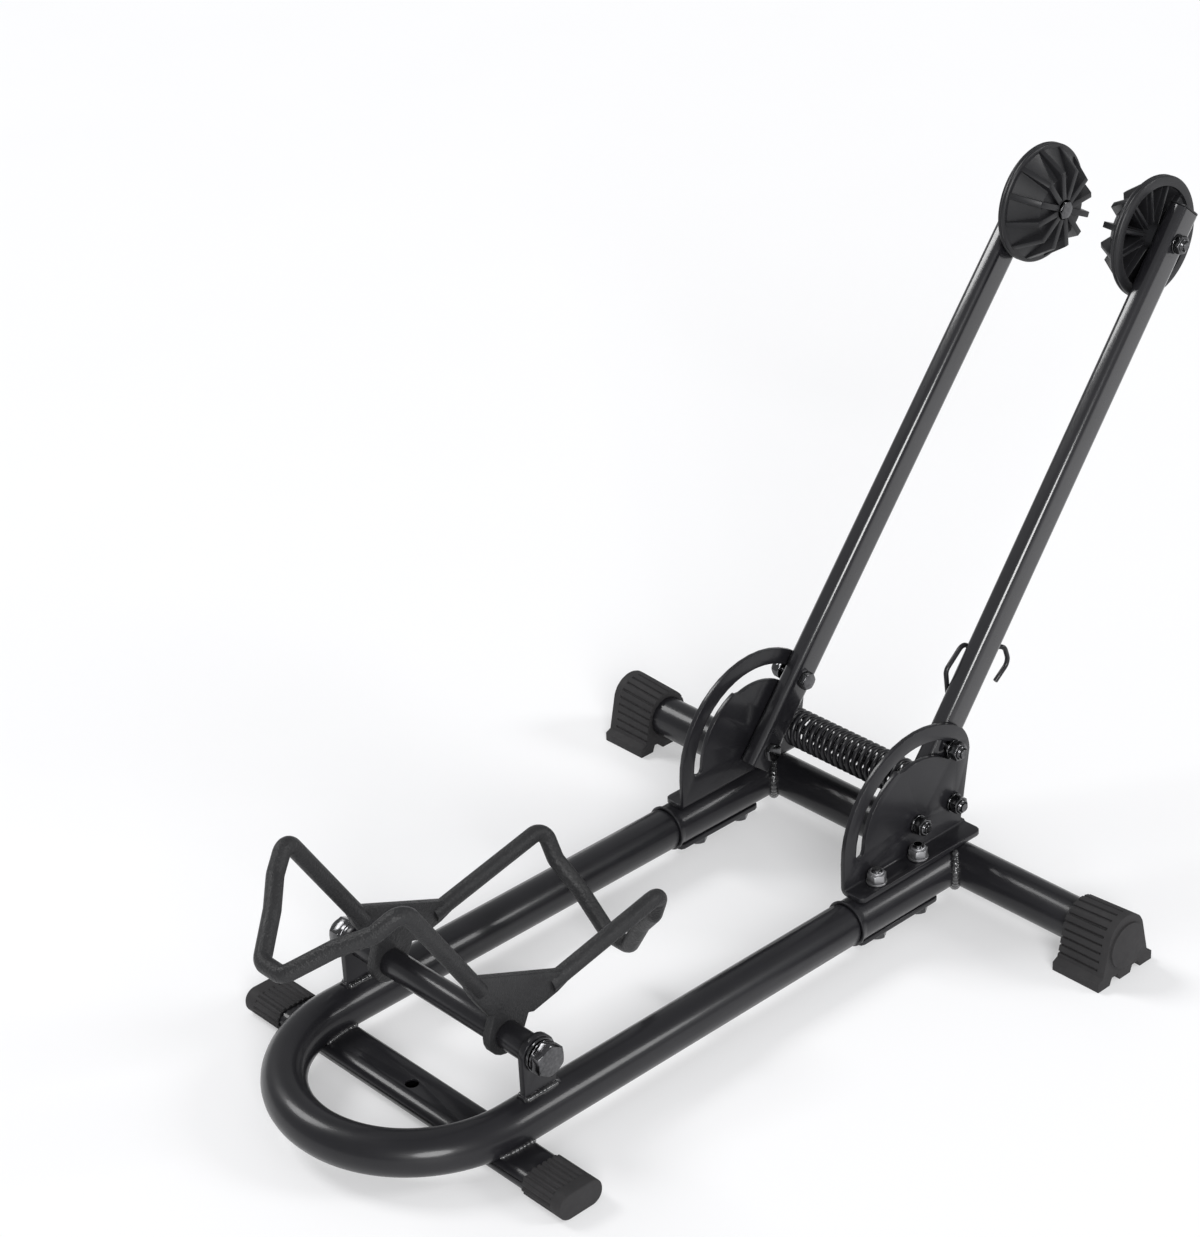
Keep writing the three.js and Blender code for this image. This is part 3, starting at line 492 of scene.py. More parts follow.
    @classmethod
    def copied(cls, piece: Piece, name: str) -> Piece:
        """Copy a piece with a mesh of its own.

        Args:
            piece: what is copied.
            name: name of the copy.

        Returns:
            The copy.
        """
        cls.hold(piece)
        bpy.ops.object.duplicate(linked=False)
        twin = bpy.context.active_object
        twin.name = twin.data.name = name
        return twin

    @classmethod
    def joined(cls, name: str, pieces: list[Piece]) -> Piece:
        """Join pieces into one object.

        Args:
            name: name of the whole.
            pieces: the pieces, which are used up.

        Returns:
            The whole.
        """
        cls.hold(pieces[0])
        for piece in pieces:
            piece.select_set(True)
        bpy.ops.object.join()
        whole = bpy.context.active_object
        whole.name = whole.data.name = name
        return whole

    @classmethod
    def dress(cls, piece: Piece, finish: Finish, body: str, *nodes: str) -> Piece:
        """Give a piece its finish and its body, and hide the nodes it stands for.

        Args:
            piece: the piece, in place.
            finish: its surface.
            body: body that carries it.
            nodes: nodes that it replaces.

        Returns:
            The same piece.
        """
        piece.data.materials.clear()
        piece.data.materials.append(finish.material())
        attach(piece, body)
        if nodes:
            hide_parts(*nodes)
        log.info("%s: %d faces, on %s", piece.name, len(piece.data.polygons), body)
        return piece

    @classmethod
    def placed(cls, piece: Piece, matrix: Matrix, finish: Finish, body: str, *nodes: str) -> Piece:
        """Lay a piece in place by a matrix and dress it."""
        return cls.dress(cls.laid(piece, matrix), finish, body, *nodes)

    @classmethod
    def refined(cls, node: str, width: float, finish: Finish, body: str, segments: int = 2) -> Piece:
        """Dress a finer copy of a node of the frame, its corners merged and its edges rounded.

        Args:
            node: name of the node, which the copy replaces.
            width: how wide the rounding is, in millimetres.
            finish: its surface.
            body: body that carries it.
            segments: steps across the rounding.

        Returns:
            The new piece, in place.
        """
        mesh = bpy.data.objects[node].data.copy()
        mesh.materials.clear()
        piece = bpy.data.objects.new(f"{node}_coated", mesh)
        mesh.name = piece.name
        bpy.context.scene.collection.objects.link(piece)
        cls.edit(piece)
        bpy.ops.mesh.remove_doubles(threshold=cls.node_seam * MM)
        bpy.ops.mesh.dissolve_limited(angle_limit=math.radians(1.0))
        cls.close()
        return cls.dress(cls.eased(piece, width, segments), finish, body, node)


def arc(centre: Flat, radius: float, start: float, end: float, steps: int) -> list[Flat]:
    """Points on an arc between two angles in degrees, both ends included."""
    turns = [math.radians(start + (end - start) * i / steps) for i in range(steps + 1)]
    return [(centre[0] + radius * math.cos(a), centre[1] + radius * math.sin(a)) for a in turns]


def rounded_box(width: float, height: float, radius: float, steps: int = 6) -> list[Flat]:
    """Outline of a rectangle with round corners about the origin.

    Args:
        width: its width.
        height: its height.
        radius: radius of its corners.
        steps: steps round each corner.

    Returns:
        The outline's points.
    """
    a, b = width / 2 - radius, height / 2 - radius
    corners = [((a, b), 0), ((-a, b), 90), ((-a, -b), 180), ((a, -b), 270)]
    return [p for centre, turn in corners for p in arc(centre, radius, turn, turn + 90, steps)]


def bent(corners: list[Point], radii: list[float], steps: int = 10) -> list[Point]:
    """Centreline of a wire that is bent at each corner.

    Args:
        corners: where the straights would meet, with both ends.
        radii: bend radius at each inner corner.
        steps: steps round each bend.

    Returns:
        The centreline's points.
    """
    spots = [Vector(c) for c in corners]
    route = [spots[0]]
    for i in range(1, len(spots) - 1):
        back = (spots[i - 1] - spots[i]).normalized()
        ahead = (spots[i + 1] - spots[i]).normalized()
        half = back.angle(ahead) / 2
        centre = spots[i] + (back + ahead).normalized() * (radii[i - 1] / math.sin(half))
        start = spots[i] + back * (radii[i - 1] / math.tan(half)) - centre
        normal = back.cross(ahead).normalized()
        for k in range(steps + 1):
            turn = Matrix.Rotation(-(math.pi - 2 * half) * k / steps, 3, normal)
            route.append(turn @ start + centre)
    route.append(spots[-1])
    return [tuple(p) for p in route]


def moved(x: float, y: float, z: float) -> Matrix:
    """Matrix that moves a piece by millimetres."""
    return Matrix.Translation(Vector((x, y, z)) * MM)


def shifted(x: float, y: float, z: float) -> Matrix:
    """Matrix that moves a piece to a place of the layout, in millimetres."""
    return Bench.layout() @ moved(x, y, z)


def facing(side: Side) -> Matrix:
    """Matrix that lays a piece drawn along +Z along +X, or along -X on the left."""
    return Matrix.Rotation(side.value * math.pi / 2, 4, "Y")


# ------------------------------------------------------------------ fasteners


@dataclass(frozen=True)
class Thread:
    """Sizes of one size of fastener, in millimetres."""

    radius: float
    flats: float
    head: float
    nut: float
    collar: float
    washer: float
    washer_thickness: float
    pitch: float


M6 = Thread(3, 10, 4, 5, 1.4, 6, 1.2, 1.0)
M6_THIN = Thread(3, 10, 4, 3.6, 1.0, 6, 0.8, 1.0)
M10 = Thread(5, 17, 6.4, 8, 2, 10, 2, 1.5)


class Fasteners:
    """Bolts, nuts and washers along +Z, modelled with their chamfers and threads."""

    past: float = 1.2
    thread_run: float = 9.0
    thread_depth: float = 0.45
    edge: float = 0.12

    @staticmethod
    def hexagon(name: str, size: Thread, low: float, high: float, crown: float) -> Piece:
        """A hexagon with its corners turned down at one or both ends.

        Args:
            name: name of the piece.
            size: the fastener's size.
            low: its lower end.
            high: its upper end.
            crown: 1 if the upper end is turned down, -1 for the lower one, 0 for both.

        Returns:
            The piece.
        """
        around = size.flats / math.sqrt(3)
        ring = [(x, y, low) for x, y in arc((0, 0), around, 0, 300, 5)]
        piece = Bench.extruded(name, ring, (0, 0, high - low))
        inner, outer = size.flats / 2 * 0.97, around + 0.4
        drop = (outer - inner) / 2
        top = [(inner, high), (outer, high - drop)] if crown >= 0 else [(outer, high)]
        foot = [(outer, low + drop), (inner, low)] if crown <= 0 else [(outer, low)]
        cone = Bench.turned("cone", [(0, high), *top, *foot, (0, low)], 48)
        return Bench.drilled(piece, cone, keep=True)

    @classmethod
    def thread(cls, name: str, size: Thread, low: float, high: float) -> Piece:
        """A threaded stretch with a chamfered end.

        Args:
            name: name of the piece.
            size: the fastener's size.
            low: where it starts.
            high: where it ends.

        Returns:
            The piece.
        """
        profile: list[Flat] = [(0, low), (size.radius - 0.3, low)]
        at = low + size.pitch / 2
        while at < high - size.pitch * 0.8:
            profile += [(size.radius, at), (size.radius - cls.thread_depth, at + size.pitch / 2)]
            at += size.pitch
        profile += [(size.radius - 0.5, high), (0, high)]
        return Bench.turned(name, profile, 24)

    @classmethod
    def bolt(cls, name: str, size: Thread, length: float) -> Piece:
        """A hex bolt whose head lies under z = 0 and whose shank ends at a length.

        Args:
            name: name of the piece.
            size: the fastener's size.
            length: where the shank ends.

        Returns:
            The piece.
        """
        head = cls.hexagon("head", size, -size.head, 0, -1)
        plain = max(length - cls.thread_run, length / 2)
        root = -size.head / 2
        sides = [(0, root), (size.radius, root), (size.radius, plain), (0, plain)]
        shank = Bench.turned("shank", sides, 24)
        end = cls.thread("end", size, plain - 0.2, length)
        return Bench.eased(Bench.joined(name, [head, shank, end]), cls.edge, 1)

    @classmethod
    def nut(cls, name: str, size: Thread) -> Piece:
        """A lock nut on its washer, standing on z = 0.

        Args:
            name: name of the piece.
            size: the fastener's size.

        Returns:
            The piece.
        """
        foot = size.washer_thickness
        top = foot + size.nut
        bore = size.radius + 0.05
        washer = Bench.turned("washer", [(bore, 0), (size.washer, 0), (size.washer, foot), (bore, foot)], 40)
        hexagon = cls.hexagon("hexagon", size, foot, top, 0)
        wide, rim = size.flats * 0.43, top + size.collar
        profile = [
            (bore, top - 1), (wide, top - 1), (wide, rim - 0.5), (wide - 0.5, rim), (bore + 0.5, rim),
            (bore, rim - 0.4),
        ]
        collar = Bench.turned("collar", profile, 40)
        return Bench.eased(Bench.joined(name, [washer, hexagon, collar]), cls.edge, 1)

    @classmethod
    def washer(cls, name: str, size: Thread) -> Piece:
        """A plain washer standing on z = 0.

        Args:
            name: name of the piece.
            size: the fastener's size.

        Returns:
            The piece.
        """
        bore, thick = size.radius + GAP, size.washer_thickness
        ring = Bench.turned(name, [(bore, 0), (size.washer, 0), (size.washer, thick), (bore, thick)], 56)
        return Bench.eased(ring, 0.25, 2)

    @classmethod
    def length(cls, size: Thread, grip: float) -> float:
        """Length of a bolt over what it holds, its nut and the thread past it."""
        return grip + 2 * GAP + size.washer_thickness + size.nut + size.collar + cls.past


# ------------------------------------------------------------------ base frame


@dataclass
class BaseFrame:
    """Round tubes, front bar, feet and caps of the frame that stands on the floor."""

    tube: float = 12.7
    wall: float = 1.5
    height: float = 21.1
    bend_ahead: float = 344.7
    stub: float = 92.0
    flare: float = 4.0
    flare_size: float = 1.3
    neck: tuple[float, float] = (4.0, 30.0)  # its run inside the leg and inside the stub
    cross_half: float = 195.7
    bar_ahead: float = 350.0
    bar_width: float = 27.0
    bar_top: float = 13.8
    cap: tuple[float, float, float] = (102.0, 123.5, 132.0)  # x of its mouth, last rib and end
    cap_section: tuple[float, float, float] = (29.6, 15.5, 7.3)  # width, height, corner radius
    rib_pitch: float = 3.7
    rib_groove: float = 1.0
    groove_share: float = 0.4
    rib_step: float = 0.55
    cap_sole: float = 2.0
    socket: tuple[float, float, float] = (18.0, 12.6, 6.1)  # depth, height, corner radius
    seam_turn: float = 62.0  # degrees of a stub's seam to each side
    tab_half: float = 2.9
    tab_seam: float = 23.0
    beads: tuple[float, float, float] = (2.5, 1.5, 1.7)  # radii at stub, front bar and tab
    body: str = "base"

    def build(self) -> None:
        """Model and dress all of the base."""
        self.front_tube()
        self.cross_tube()
        self.stub_tubes()
        self.welds()
        self.front_caps()
        Bench.refined("front_bar", 0.3, POWDER_COAT, self.body)
        for side in Side:
            Bench.refined(f"{side.word}_rear_foot", 0.35, FOOT_RUBBER, self.body)
            for name, width in (("shaft_tab", 0.35), ("bracket", 0.45), ("clamp_strip", 0.4)):
                Bench.refined(f"{side.word}_{name}", width, POWDER_COAT, self.body)

    def cap_outline(self, groove: float) -> list[Flat]:
        """Outline of a front cap across the bar, in (y, z) about its middle.

        Args:
            groove: depth of the grooves between its ribs.

        Returns:
            The outline's points.
        """
        width, height, radius = self.cap_section
        plain = rounded_box(width, height, radius, 14)
        if not groove:
            return plain
        ring: list[Flat] = []
        run = 0.0
        for a, b in zip(plain, [*plain[1:], plain[0]]):
            length = math.dist(a, b)
            steps = max(1, round(length / self.rib_step))
            for i in range(steps):
                share = i / steps
                u, v = a[0] + (b[0] - a[0]) * share, a[1] + (b[1] - a[1]) * share
                at = (run + length * share) % self.rib_pitch
                grooved = at < self.rib_pitch * self.groove_share and v > self.cap_sole - height / 2
                deep = groove if grooved else 0.0
                core = max(-width / 2 + radius, min(width / 2 - radius, u))
                away = math.hypot(u - core, v) or 1.0
                ring.append((u - deep * (u - core) / away, v - deep * v / away))
            run += length
        return ring

    def front_caps(self) -> None:
        """The rubber caps on the front bar: ribbed, with a plain end."""
        start, band, end = self.cap
        height = self.cap_section[1]
        ribbed = [(start, y, z) for y, z in self.cap_outline(self.rib_groove)]
        grip = Bench.eased(Bench.extruded("grip", ribbed, (band + 1 - start, 0, 0)), 0.2, 1)
        plain = [(band, y, z) for y, z in self.cap_outline(0)]
        closed = Bench.eased(Bench.extruded("end", plain, (end - band, 0, 0)), 1.1, 4, 50)
        depth, high, round_by = self.socket
        mouth = rounded_box(self.bar_width + 2 * GAP, high, round_by, 10)
        hollow = Bench.extruded("socket", [(start - 1, y, z - 0.05) for y, z in mouth], (depth + 1, 0, 0))
        first = Bench.joined("right_front_cap_moulded", [Bench.drilled(grip, hollow), closed])
        second = Bench.copied(first, "left_front_cap_moulded")
        for side, piece in ((Side.RIGHT, first), (Side.LEFT, second)):
            turn = Matrix.Rotation(0 if side is Side.RIGHT else math.pi, 4, "Z")
            place = shifted(0, -self.bar_ahead, height / 2 + 0.02) @ turn
            Bench.placed(piece, place, FOOT_RUBBER, self.body, f"{side.word}_front_cap")

    def leg_line(self, rear: float, steps: int = 64) -> list[Point]:
        """Centreline of the front tube, from the right leg's end to the left one's."""
        bend = arc((0, -self.bend_ahead), LEG, 0, -180, steps)
        return [(x, y, self.height) for x, y in ((LEG, rear), *bend, (-LEG, rear))]

    def front_tube(self) -> None:
        """The U-shaped tube with the necks that go into the stubs."""
        rear = -self.stub - 0.9
        ahead, behind = self.neck
        pieces = [Bench.wire("front_tube_coated", self.leg_line(rear), self.tube, 10)]
        for side in Side:
            x = side.value * LEG
            line = [(x, rear - ahead, self.height), (x, rear + behind, self.height)]
            pieces.append(Bench.wire("neck", line, self.tube - self.wall - GAP, 8))
        whole = Bench.eased(Bench.joined("front_tube_coated", pieces), 0.3, 2, 50)
        Bench.placed(whole, Bench.layout(), POWDER_COAT, self.body, "front_tube")

    def cross_tube(self) -> None:
        """The rear cross tube, whose ends lie in the feet."""
        line = [(-self.cross_half, 0, self.height), (self.cross_half, 0, self.height)]
        tube = Bench.eased(Bench.wire("rear_cross_tube_coated", line, self.tube, 10), 0)
        Bench.placed(tube, Bench.layout(), POWDER_COAT, self.body, "rear_cross_tube")

    def stub_tubes(self) -> None:
        """The two stub tubes with their flared mouths."""
        bore = self.tube - self.wall
        lip, neck = self.tube + self.flare_size, self.stub - self.flare
        profile = [
            (bore, 0), (self.tube, 0), (self.tube, neck - 1), (self.tube + 0.2, neck + 0.4),
            (lip - 0.1, self.stub - 1.2), (lip, self.stub - 0.4), (lip - 0.4, self.stub),
            (bore + self.flare_size, self.stub), (bore, neck),
        ]
        first = Bench.eased(Bench.turned("right_stub_tube_coated", profile, 64), 0, corner=40)
        second = Bench.copied(first, "left_stub_tube_coated")
        for side, piece in ((Side.RIGHT, first), (Side.LEFT, second)):
            turn = Matrix.Rotation(math.pi / 2, 4, "X")
            place = shifted(side.value * LEG, 0, self.height) @ turn
            Bench.placed(piece, place, POWDER_COAT, self.body, f"{side.word}_stub_tube")

    def bead(self, points: list[Point], radius: float) -> Piece:
        """A weld bead: a ripple every 2.5 mm over a slow unevenness, with tapered ends.

        Args:
            points: the seam in millimetres, closely spaced.
            radius: the bead's radius.

        Returns:
            The bead in place.
        """
        lengths = [0.0]
        for a, b in zip(points, points[1:]):
            lengths.append(lengths[-1] + (Vector(b) - Vector(a)).length)
        swell = []
        for run in lengths:
            ripple = 1 + 0.2 * abs(math.sin(run * 1.25)) + 0.14 * math.sin(run * 0.41 + radius * 5)
            taper = min(1.0, 0.45 + min(run, lengths[-1] - run) / 3)
            swell.append(ripple * taper)
        bead = Bench.wire("bead", points, radius, 4, swell)
        return Bench.laid(Bench.eased(bead, 0, corner=60), Bench.layout())

    def stub_seams(self, side: Side) -> list[list[Point]]:
        """Both halves of the seam between a stub tube and the cross tube.

        Args:
            side: which stub tube.

        Returns:
            The points of each half.
        """
        seams = []
        for turn in (0, 180):
            rim = arc((0, 0), self.tube + 0.25, turn - self.seam_turn, turn + self.seam_turn, 60)
            seams.append([(side.value * LEG + x, -abs(x) - 0.2, self.height + up) for x, up in rim])
        return seams

    def bar_seams(self, side: Side) -> list[list[Point]]:
        """Both seams between the front tube's flanks and the front bar.

        Args:
            side: which crossing.

        Returns:
            The inner and the outer seam.
        """
        flank = math.sqrt(self.tube**2 - (self.height - self.bar_top) ** 2) + 0.4
        half = self.bar_width / 2 - 2
        seams = []
        for radius in (LEG - flank, LEG + flank):
            seam = []
            for i in range(41):
                y = -self.bar_ahead + half - 2 * half * i / 40
                over = max(-self.bend_ahead - y, 0)
                seam.append((side.value * math.sqrt(radius**2 - over**2), y, self.bar_top + 0.3))
            seams.append(seam)
        return seams

    def tab_seams(self, side: Side) -> list[list[Point]]:
        """Both seams along the foot of a shaft tab.

        Args:
            side: which tab.

        Returns:
            The points of each seam.
        """
        z = self.height + math.sqrt(self.tube**2 - self.tab_half**2) + 0.3
        run = [SHAFT[0] + self.tab_seam * (i / 30 - 0.5) for i in range(31)]
        return [[(side.value * LEG + edge * self.tab_half, y, z) for y in run] for edge in (-1, 1)]

    def welds(self) -> None:
        """Beads at the stubs, where the front bar meets the tube, and at the tabs."""
        pieces = []
        for side in Side:
            seams = (self.stub_seams(side), self.bar_seams(side), self.tab_seams(side))
            for pair, radius in zip(seams, self.beads):
                pieces += [self.bead(seam, radius) for seam in pair]
        Bench.dress(Bench.joined("frame_welds", pieces), WELD_METAL, self.body)


@dataclass
class BaseFasteners:
    """Bolts and nuts of the flanges, the pivots and the cross rod, and the rod's spring."""

    strip_bottom: float = 5.1
    flange_top: float = 37.1
    flange_bolts: tuple[float, float] = (66.0, 31.0)  # how far ahead of the cross tube
    rod_at: Flat = (6.4, 54.4)
    plate_inner: float = 64.0
    plate_outer: float = 67.0
    arm_inner: float = 51.4
    spring_diameter: float = 24.0
    spring_wire: float = 3.2
    spring_turns: int = 24
    turn_steps: int = 24
    body: str = "base"

    def build(self) -> None:
        """Model and dress all of them."""
        self.flange_sets()
        self.plate_sets()
        self.cross_rod()
        self.spring()

    def spread(self, first: Piece, finish: Finish, nodes: dict[str, Matrix]) -> None:
        """Copy a piece to several places and dress each copy.

        Args:
            first: the piece as drawn; it is used up.
            finish: its surface.
            nodes: the node each copy replaces, and its matrix.
        """
        for node, matrix in nodes.items():
            Bench.placed(Bench.copied(first, f"{node}_plated"), matrix, finish, self.body, node)
        bpy.data.objects.remove(first)

    def flange_sets(self) -> None:
        """The bolts up through strip, stub and flange, with their nuts."""
        bolts, nuts = {}, {}
        for side in Side:
            for word, ahead in zip(("front", "rear"), self.flange_bolts):
                x = side.value * LEG
                name = f"{side.word}_{word}_flange"
                bolts[f"{name}_bolt"] = shifted(x, -ahead, self.strip_bottom - GAP)
                nuts[f"{name}_nut"] = shifted(x, -ahead, self.flange_top + GAP)
        length = Fasteners.length(M6, self.flange_top - self.strip_bottom)
        self.spread(Fasteners.bolt("flange_bolt", M6, length), BLACK_ZINC, bolts)
        self.spread(Fasteners.nut("flange_nut", M6), BRIGHT_ZINC, nuts)

    def plate_sets(self) -> None:
        """The pivot bolts and the nuts outside the plates."""
        bolts, nuts = {}, {}
        for side in Side:
            inner = side.value * (self.arm_inner - GAP)
            outer = side.value * (self.plate_outer + GAP)
            bolts[f"{side.word}_pivot_bolt"] = shifted(inner, *PIVOT) @ facing(side)
            nuts[f"{side.word}_pivot_nut"] = shifted(outer, *PIVOT) @ facing(side)
            nuts[f"{side.word}_rod_nut"] = shifted(outer, *self.rod_at) @ facing(side)
        length = Fasteners.length(M6, self.plate_outer - self.arm_inner)
        self.spread(Fasteners.bolt("pivot_bolt", M6, length), BLACK_ZINC, bolts)
        self.spread(Fasteners.nut("plate_nut", M6), BLACK_ZINC, nuts)

    def cross_rod(self) -> None:
        """The threaded rod between the brackets."""
        half = self.plate_outer + GAP + M6.washer_thickness + M6.nut + M6.collar + Fasteners.past
        rod = Bench.eased(Fasteners.thread("cross_rod_plated", M6, -half, half), 0, corner=20)
        place = shifted(0, *self.rod_at) @ facing(Side.RIGHT)
        Bench.placed(rod, place, BLACK_ZINC, self.body, "cross_rod")

    def spring(self) -> None:
        """The coil spring over the cross rod."""
        half = self.plate_inner - GAP
        radius = (self.spring_diameter - self.spring_wire) / 2
        wound = 2 * (half - self.spring_wire)
        steps = self.spring_turns * self.turn_steps
        points: list[Point] = [(-half, radius, 0)]
        for i in range(steps + 1):
            angle = 2 * math.pi * i / self.turn_steps
            along = -wound / 2 + wound * i / steps
            points.append((along, radius * math.cos(angle), radius * math.sin(angle)))
        points.append((half, radius, 0))
        coil = Bench.wire("rod_spring_coated", points, self.spring_wire / 2, 3)
        place = shifted(0, *self.rod_at)
        Bench.placed(Bench.eased(coil, 0, corner=60), place, POWDER_COAT, self.body, "rod_spring")


# ------------------------------------------------------------------ arms


@dataclass
class Arms:
    """The two leaning arms with their discs, bolts and the hook."""

    lean: float = 38.9
    toe: float = 0.57
    thickness: float = 12.1
    depth: float = 19.4
    wall: float = 1.2
    corner: float = 4.6
    centre: float = 57.45
    reach: float = 386.0
    tail: float = 12.0
    plug_depth: float = 12.0
    plug_lid: float = 1.2
    guide: float = 47.75
    bracket: float = 3.0
    bracket_play: float = 0.5
    guide_play: float = 0.36
    disc_at: float = 366.0
    stand_off: float = 3.2
    rim_width: float = 5.0
    rim_depth: float = 6.0
    disc_radius: float = 36.5
    fins: int = 12
    fin_thickness: float = 3.6
    fin_reach: float = 16.5
    fin_tip: float = 24.0
    fin_step: float = 3.0
    cone_tip: float = 19.0
    shell: float = 2.5
    hub: float = 8.0
    hook_wire: float = 3.0
    hook_reach: float = 107.0

    def matrix(self, side: Side) -> Matrix:
        """Matrix from an arm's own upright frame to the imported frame.

        Args:
            side: which arm.

        Returns:
            The matrix.
        """
        lean = Matrix.Rotation(-math.radians(self.lean), 4, "X")
        toe = Matrix.Rotation(-side.value * math.radians(self.toe), 4, "Y")
        return shifted(side.value * self.centre, *PIVOT) @ lean @ toe

    def crosswise(self, side: Side, x: float, z: float) -> Matrix:
        """Matrix of a piece on a bolt's line, x outwards and z up in the arm's own frame."""
        return self.matrix(side) @ moved(side.value * x, 0, z) @ facing(side)

    def build(self) -> None:
        """Model and dress both arms."""
        tube, plug, disc = self.tube(), self.plug(), self.disc()
        nut = Fasteners.nut("arm_nut", M6)
        thin_nut = Fasteners.nut("thin_nut", M6_THIN)
        drift = self.guide * math.sin(math.radians(self.toe))
        guide_grip = self.thickness + self.bracket_play + drift + self.bracket
        guide_bolt = Fasteners.bolt("guide", M6, Fasteners.length(M6, guide_grip))
        disc_tip = self.stand_off + self.rim_width + self.fin_reach
        disc_grip = disc_tip - self.fin_step + self.thickness
        disc_bolt = Fasteners.bolt("disc_bolt", M6, Fasteners.length(M6_THIN, disc_grip))
        half = self.thickness / 2
        on_guide = (
            (guide_bolt, "guide_bolt", -half - GAP),
            (nut, "guide_nut", guide_grip - half + self.guide_play),
        )
        on_disc = (
            (disc_bolt, "disc_bolt", self.fin_step - half - disc_tip - GAP),
            (thin_nut, "disc_nut", half + GAP),
        )
        for side in Side:
            body, upright = f"{side.word}_arm_body", self.matrix(side)
            sets = [(tube, "arm", upright, ARM_COAT, body), (plug, "arm_plug", upright, DISC_PLASTIC, body)]
            sets += [(first, word, self.crosswise(side, x, self.guide), BLACK_ZINC, body)
                     for first, word, x in on_guide]
            sets.append((disc, "disc", self.crosswise(side, -half, self.disc_at), DISC_PLASTIC,
                         f"{side.word}_disc_body"))
            sets += [(first, word, self.crosswise(side, x, self.disc_at), BLACK_ZINC, body)
                     for first, word, x in on_disc]
            for first, word, matrix, finish, carrier in sets:
                node = f"{side.word}_{word}"
                Bench.placed(Bench.copied(first, f"{node}_finished"), matrix, finish, carrier, node)
        for first in (tube, plug, disc, nut, thin_nut, guide_bolt, disc_bolt):
            bpy.data.objects.remove(first)
        self.hook()

    def tube(self) -> Piece:
        """The arm's flat-sided tube, open at both ends.

        Returns:
            The tube, upright about its pivot.
        """
        outer = rounded_box(self.thickness, self.depth, self.corner, 8)
        walls = 2 * self.wall
        bore = rounded_box(self.thickness - walls, self.depth - walls, self.corner - self.wall, 8)
        height = self.reach + self.tail
        tube = Bench.extruded("arm", [(x, y, -self.tail) for x, y in outer], (0, 0, height))
        core = Bench.extruded("core", [(x, y, -self.tail - 1) for x, y in bore], (0, 0, height + 2))
        return Bench.eased(Bench.drilled(tube, core), 0.2, 2, 50)

    def plug(self) -> Piece:
        """The plug in the top end, with its lid.

        Returns:
            The plug, in the place it has in the upright tube.
        """
        play = self.wall + GAP
        stem = rounded_box(self.thickness - 2 * play, self.depth - 2 * play, self.corner - play, 4)
        lid = rounded_box(self.thickness, self.depth, self.corner, 8)
        foot, rise = self.reach - self.plug_depth, self.plug_depth + 2 * GAP
        inside = Bench.extruded("stem", [(x, y, foot) for x, y in stem], (0, 0, rise))
        cover = Bench.extruded("lid", [(x, y, self.reach + GAP) for x, y in lid], (0, 0, self.plug_lid))
        return Bench.eased(Bench.joined("plug", [inside, cover]), 0.35, 3)

    def disc(self) -> Piece:
        """A finned disc along +Z outwards to the arm, whose inner face is at z = 0.

        Returns:
            The disc.
        """
        outer = -self.stand_off
        inner = outer - self.rim_width
        middle = (outer + inner) / 2
        edge, bore = self.disc_radius, self.disc_radius - self.rim_depth
        tip = inner - self.fin_reach
        cone = tip + self.fin_step
        groove, hole = edge - 0.9, M6.radius + GAP
        profile = [
            (hole, cone), (self.cone_tip, cone), (bore + 3, inner), (groove, inner),
            (edge, inner + 0.8), (edge, middle - 0.7), (groove + 0.2, middle - 0.15),
            (groove + 0.2, middle + 0.15), (edge, middle + 0.7), (edge, outer - 0.8),
            (groove, outer), (bore, outer), (bore, inner + self.shell),
            (self.cone_tip - 1, cone + self.shell), (self.hub, cone + self.shell), (self.hub, -GAP),
            (hole, -GAP),
        ]
        pieces = [Bench.eased(Bench.turned("shell", profile, 96), 0.3, 2, 25)]
        root, flush = self.hub - 2, inner + 0.5
        front = [(root, tip), (self.fin_tip, tip), (edge - 1.5, flush), (root, flush)]
        back = [
            (root, cone + 1), (self.cone_tip - 2, cone + 1), (bore + 1, inner + 1),
            (bore + 1, outer - 1.5), (root, outer - 1.5),
        ]
        for section, thick in ((front, self.fin_thickness), (back, self.fin_thickness / 2)):
            points = [(r, -thick / 2, z) for r, z in section]
            blade = Bench.eased(Bench.extruded("fin", points, (0, thick, 0)), 0.35, 2)
            for i in range(self.fins):
                turn = Matrix.Rotation(2 * math.pi * (i + 0.5) / self.fins, 4, "Z")
                pieces.append(Bench.laid(Bench.copied(blade, "fin"), turn))
            bpy.data.objects.remove(blade)
        return Bench.joined("disc", pieces)

    def hook(self) -> None:
        """The wire hook on the right arm."""
        half = self.depth / 2
        beside = -self.thickness / 2 - self.hook_wire / 2 - GAP
        up = self.hook_reach
        corners = [
            (beside, -2, up - 31), (beside, -half - 3.2, up - 20), (beside, -half + 1, up - 2),
            (beside, half + self.hook_wire, up), (0, half + 9, up + 8), (0, half + 20, up + 1),
            (0, half + 16, up - 13),
        ]
        route = bent(corners, [5, 5, 4, 4, 6], 8)
        hook = Bench.eased(Bench.wire("arm_hook_coated", route, self.hook_wire / 2, 4), 0.3, 2, 50)
        Bench.placed(hook, self.matrix(Side.RIGHT), POWDER_COAT, "right_arm_body", "arm_hook")


# ------------------------------------------------------------------ cradle


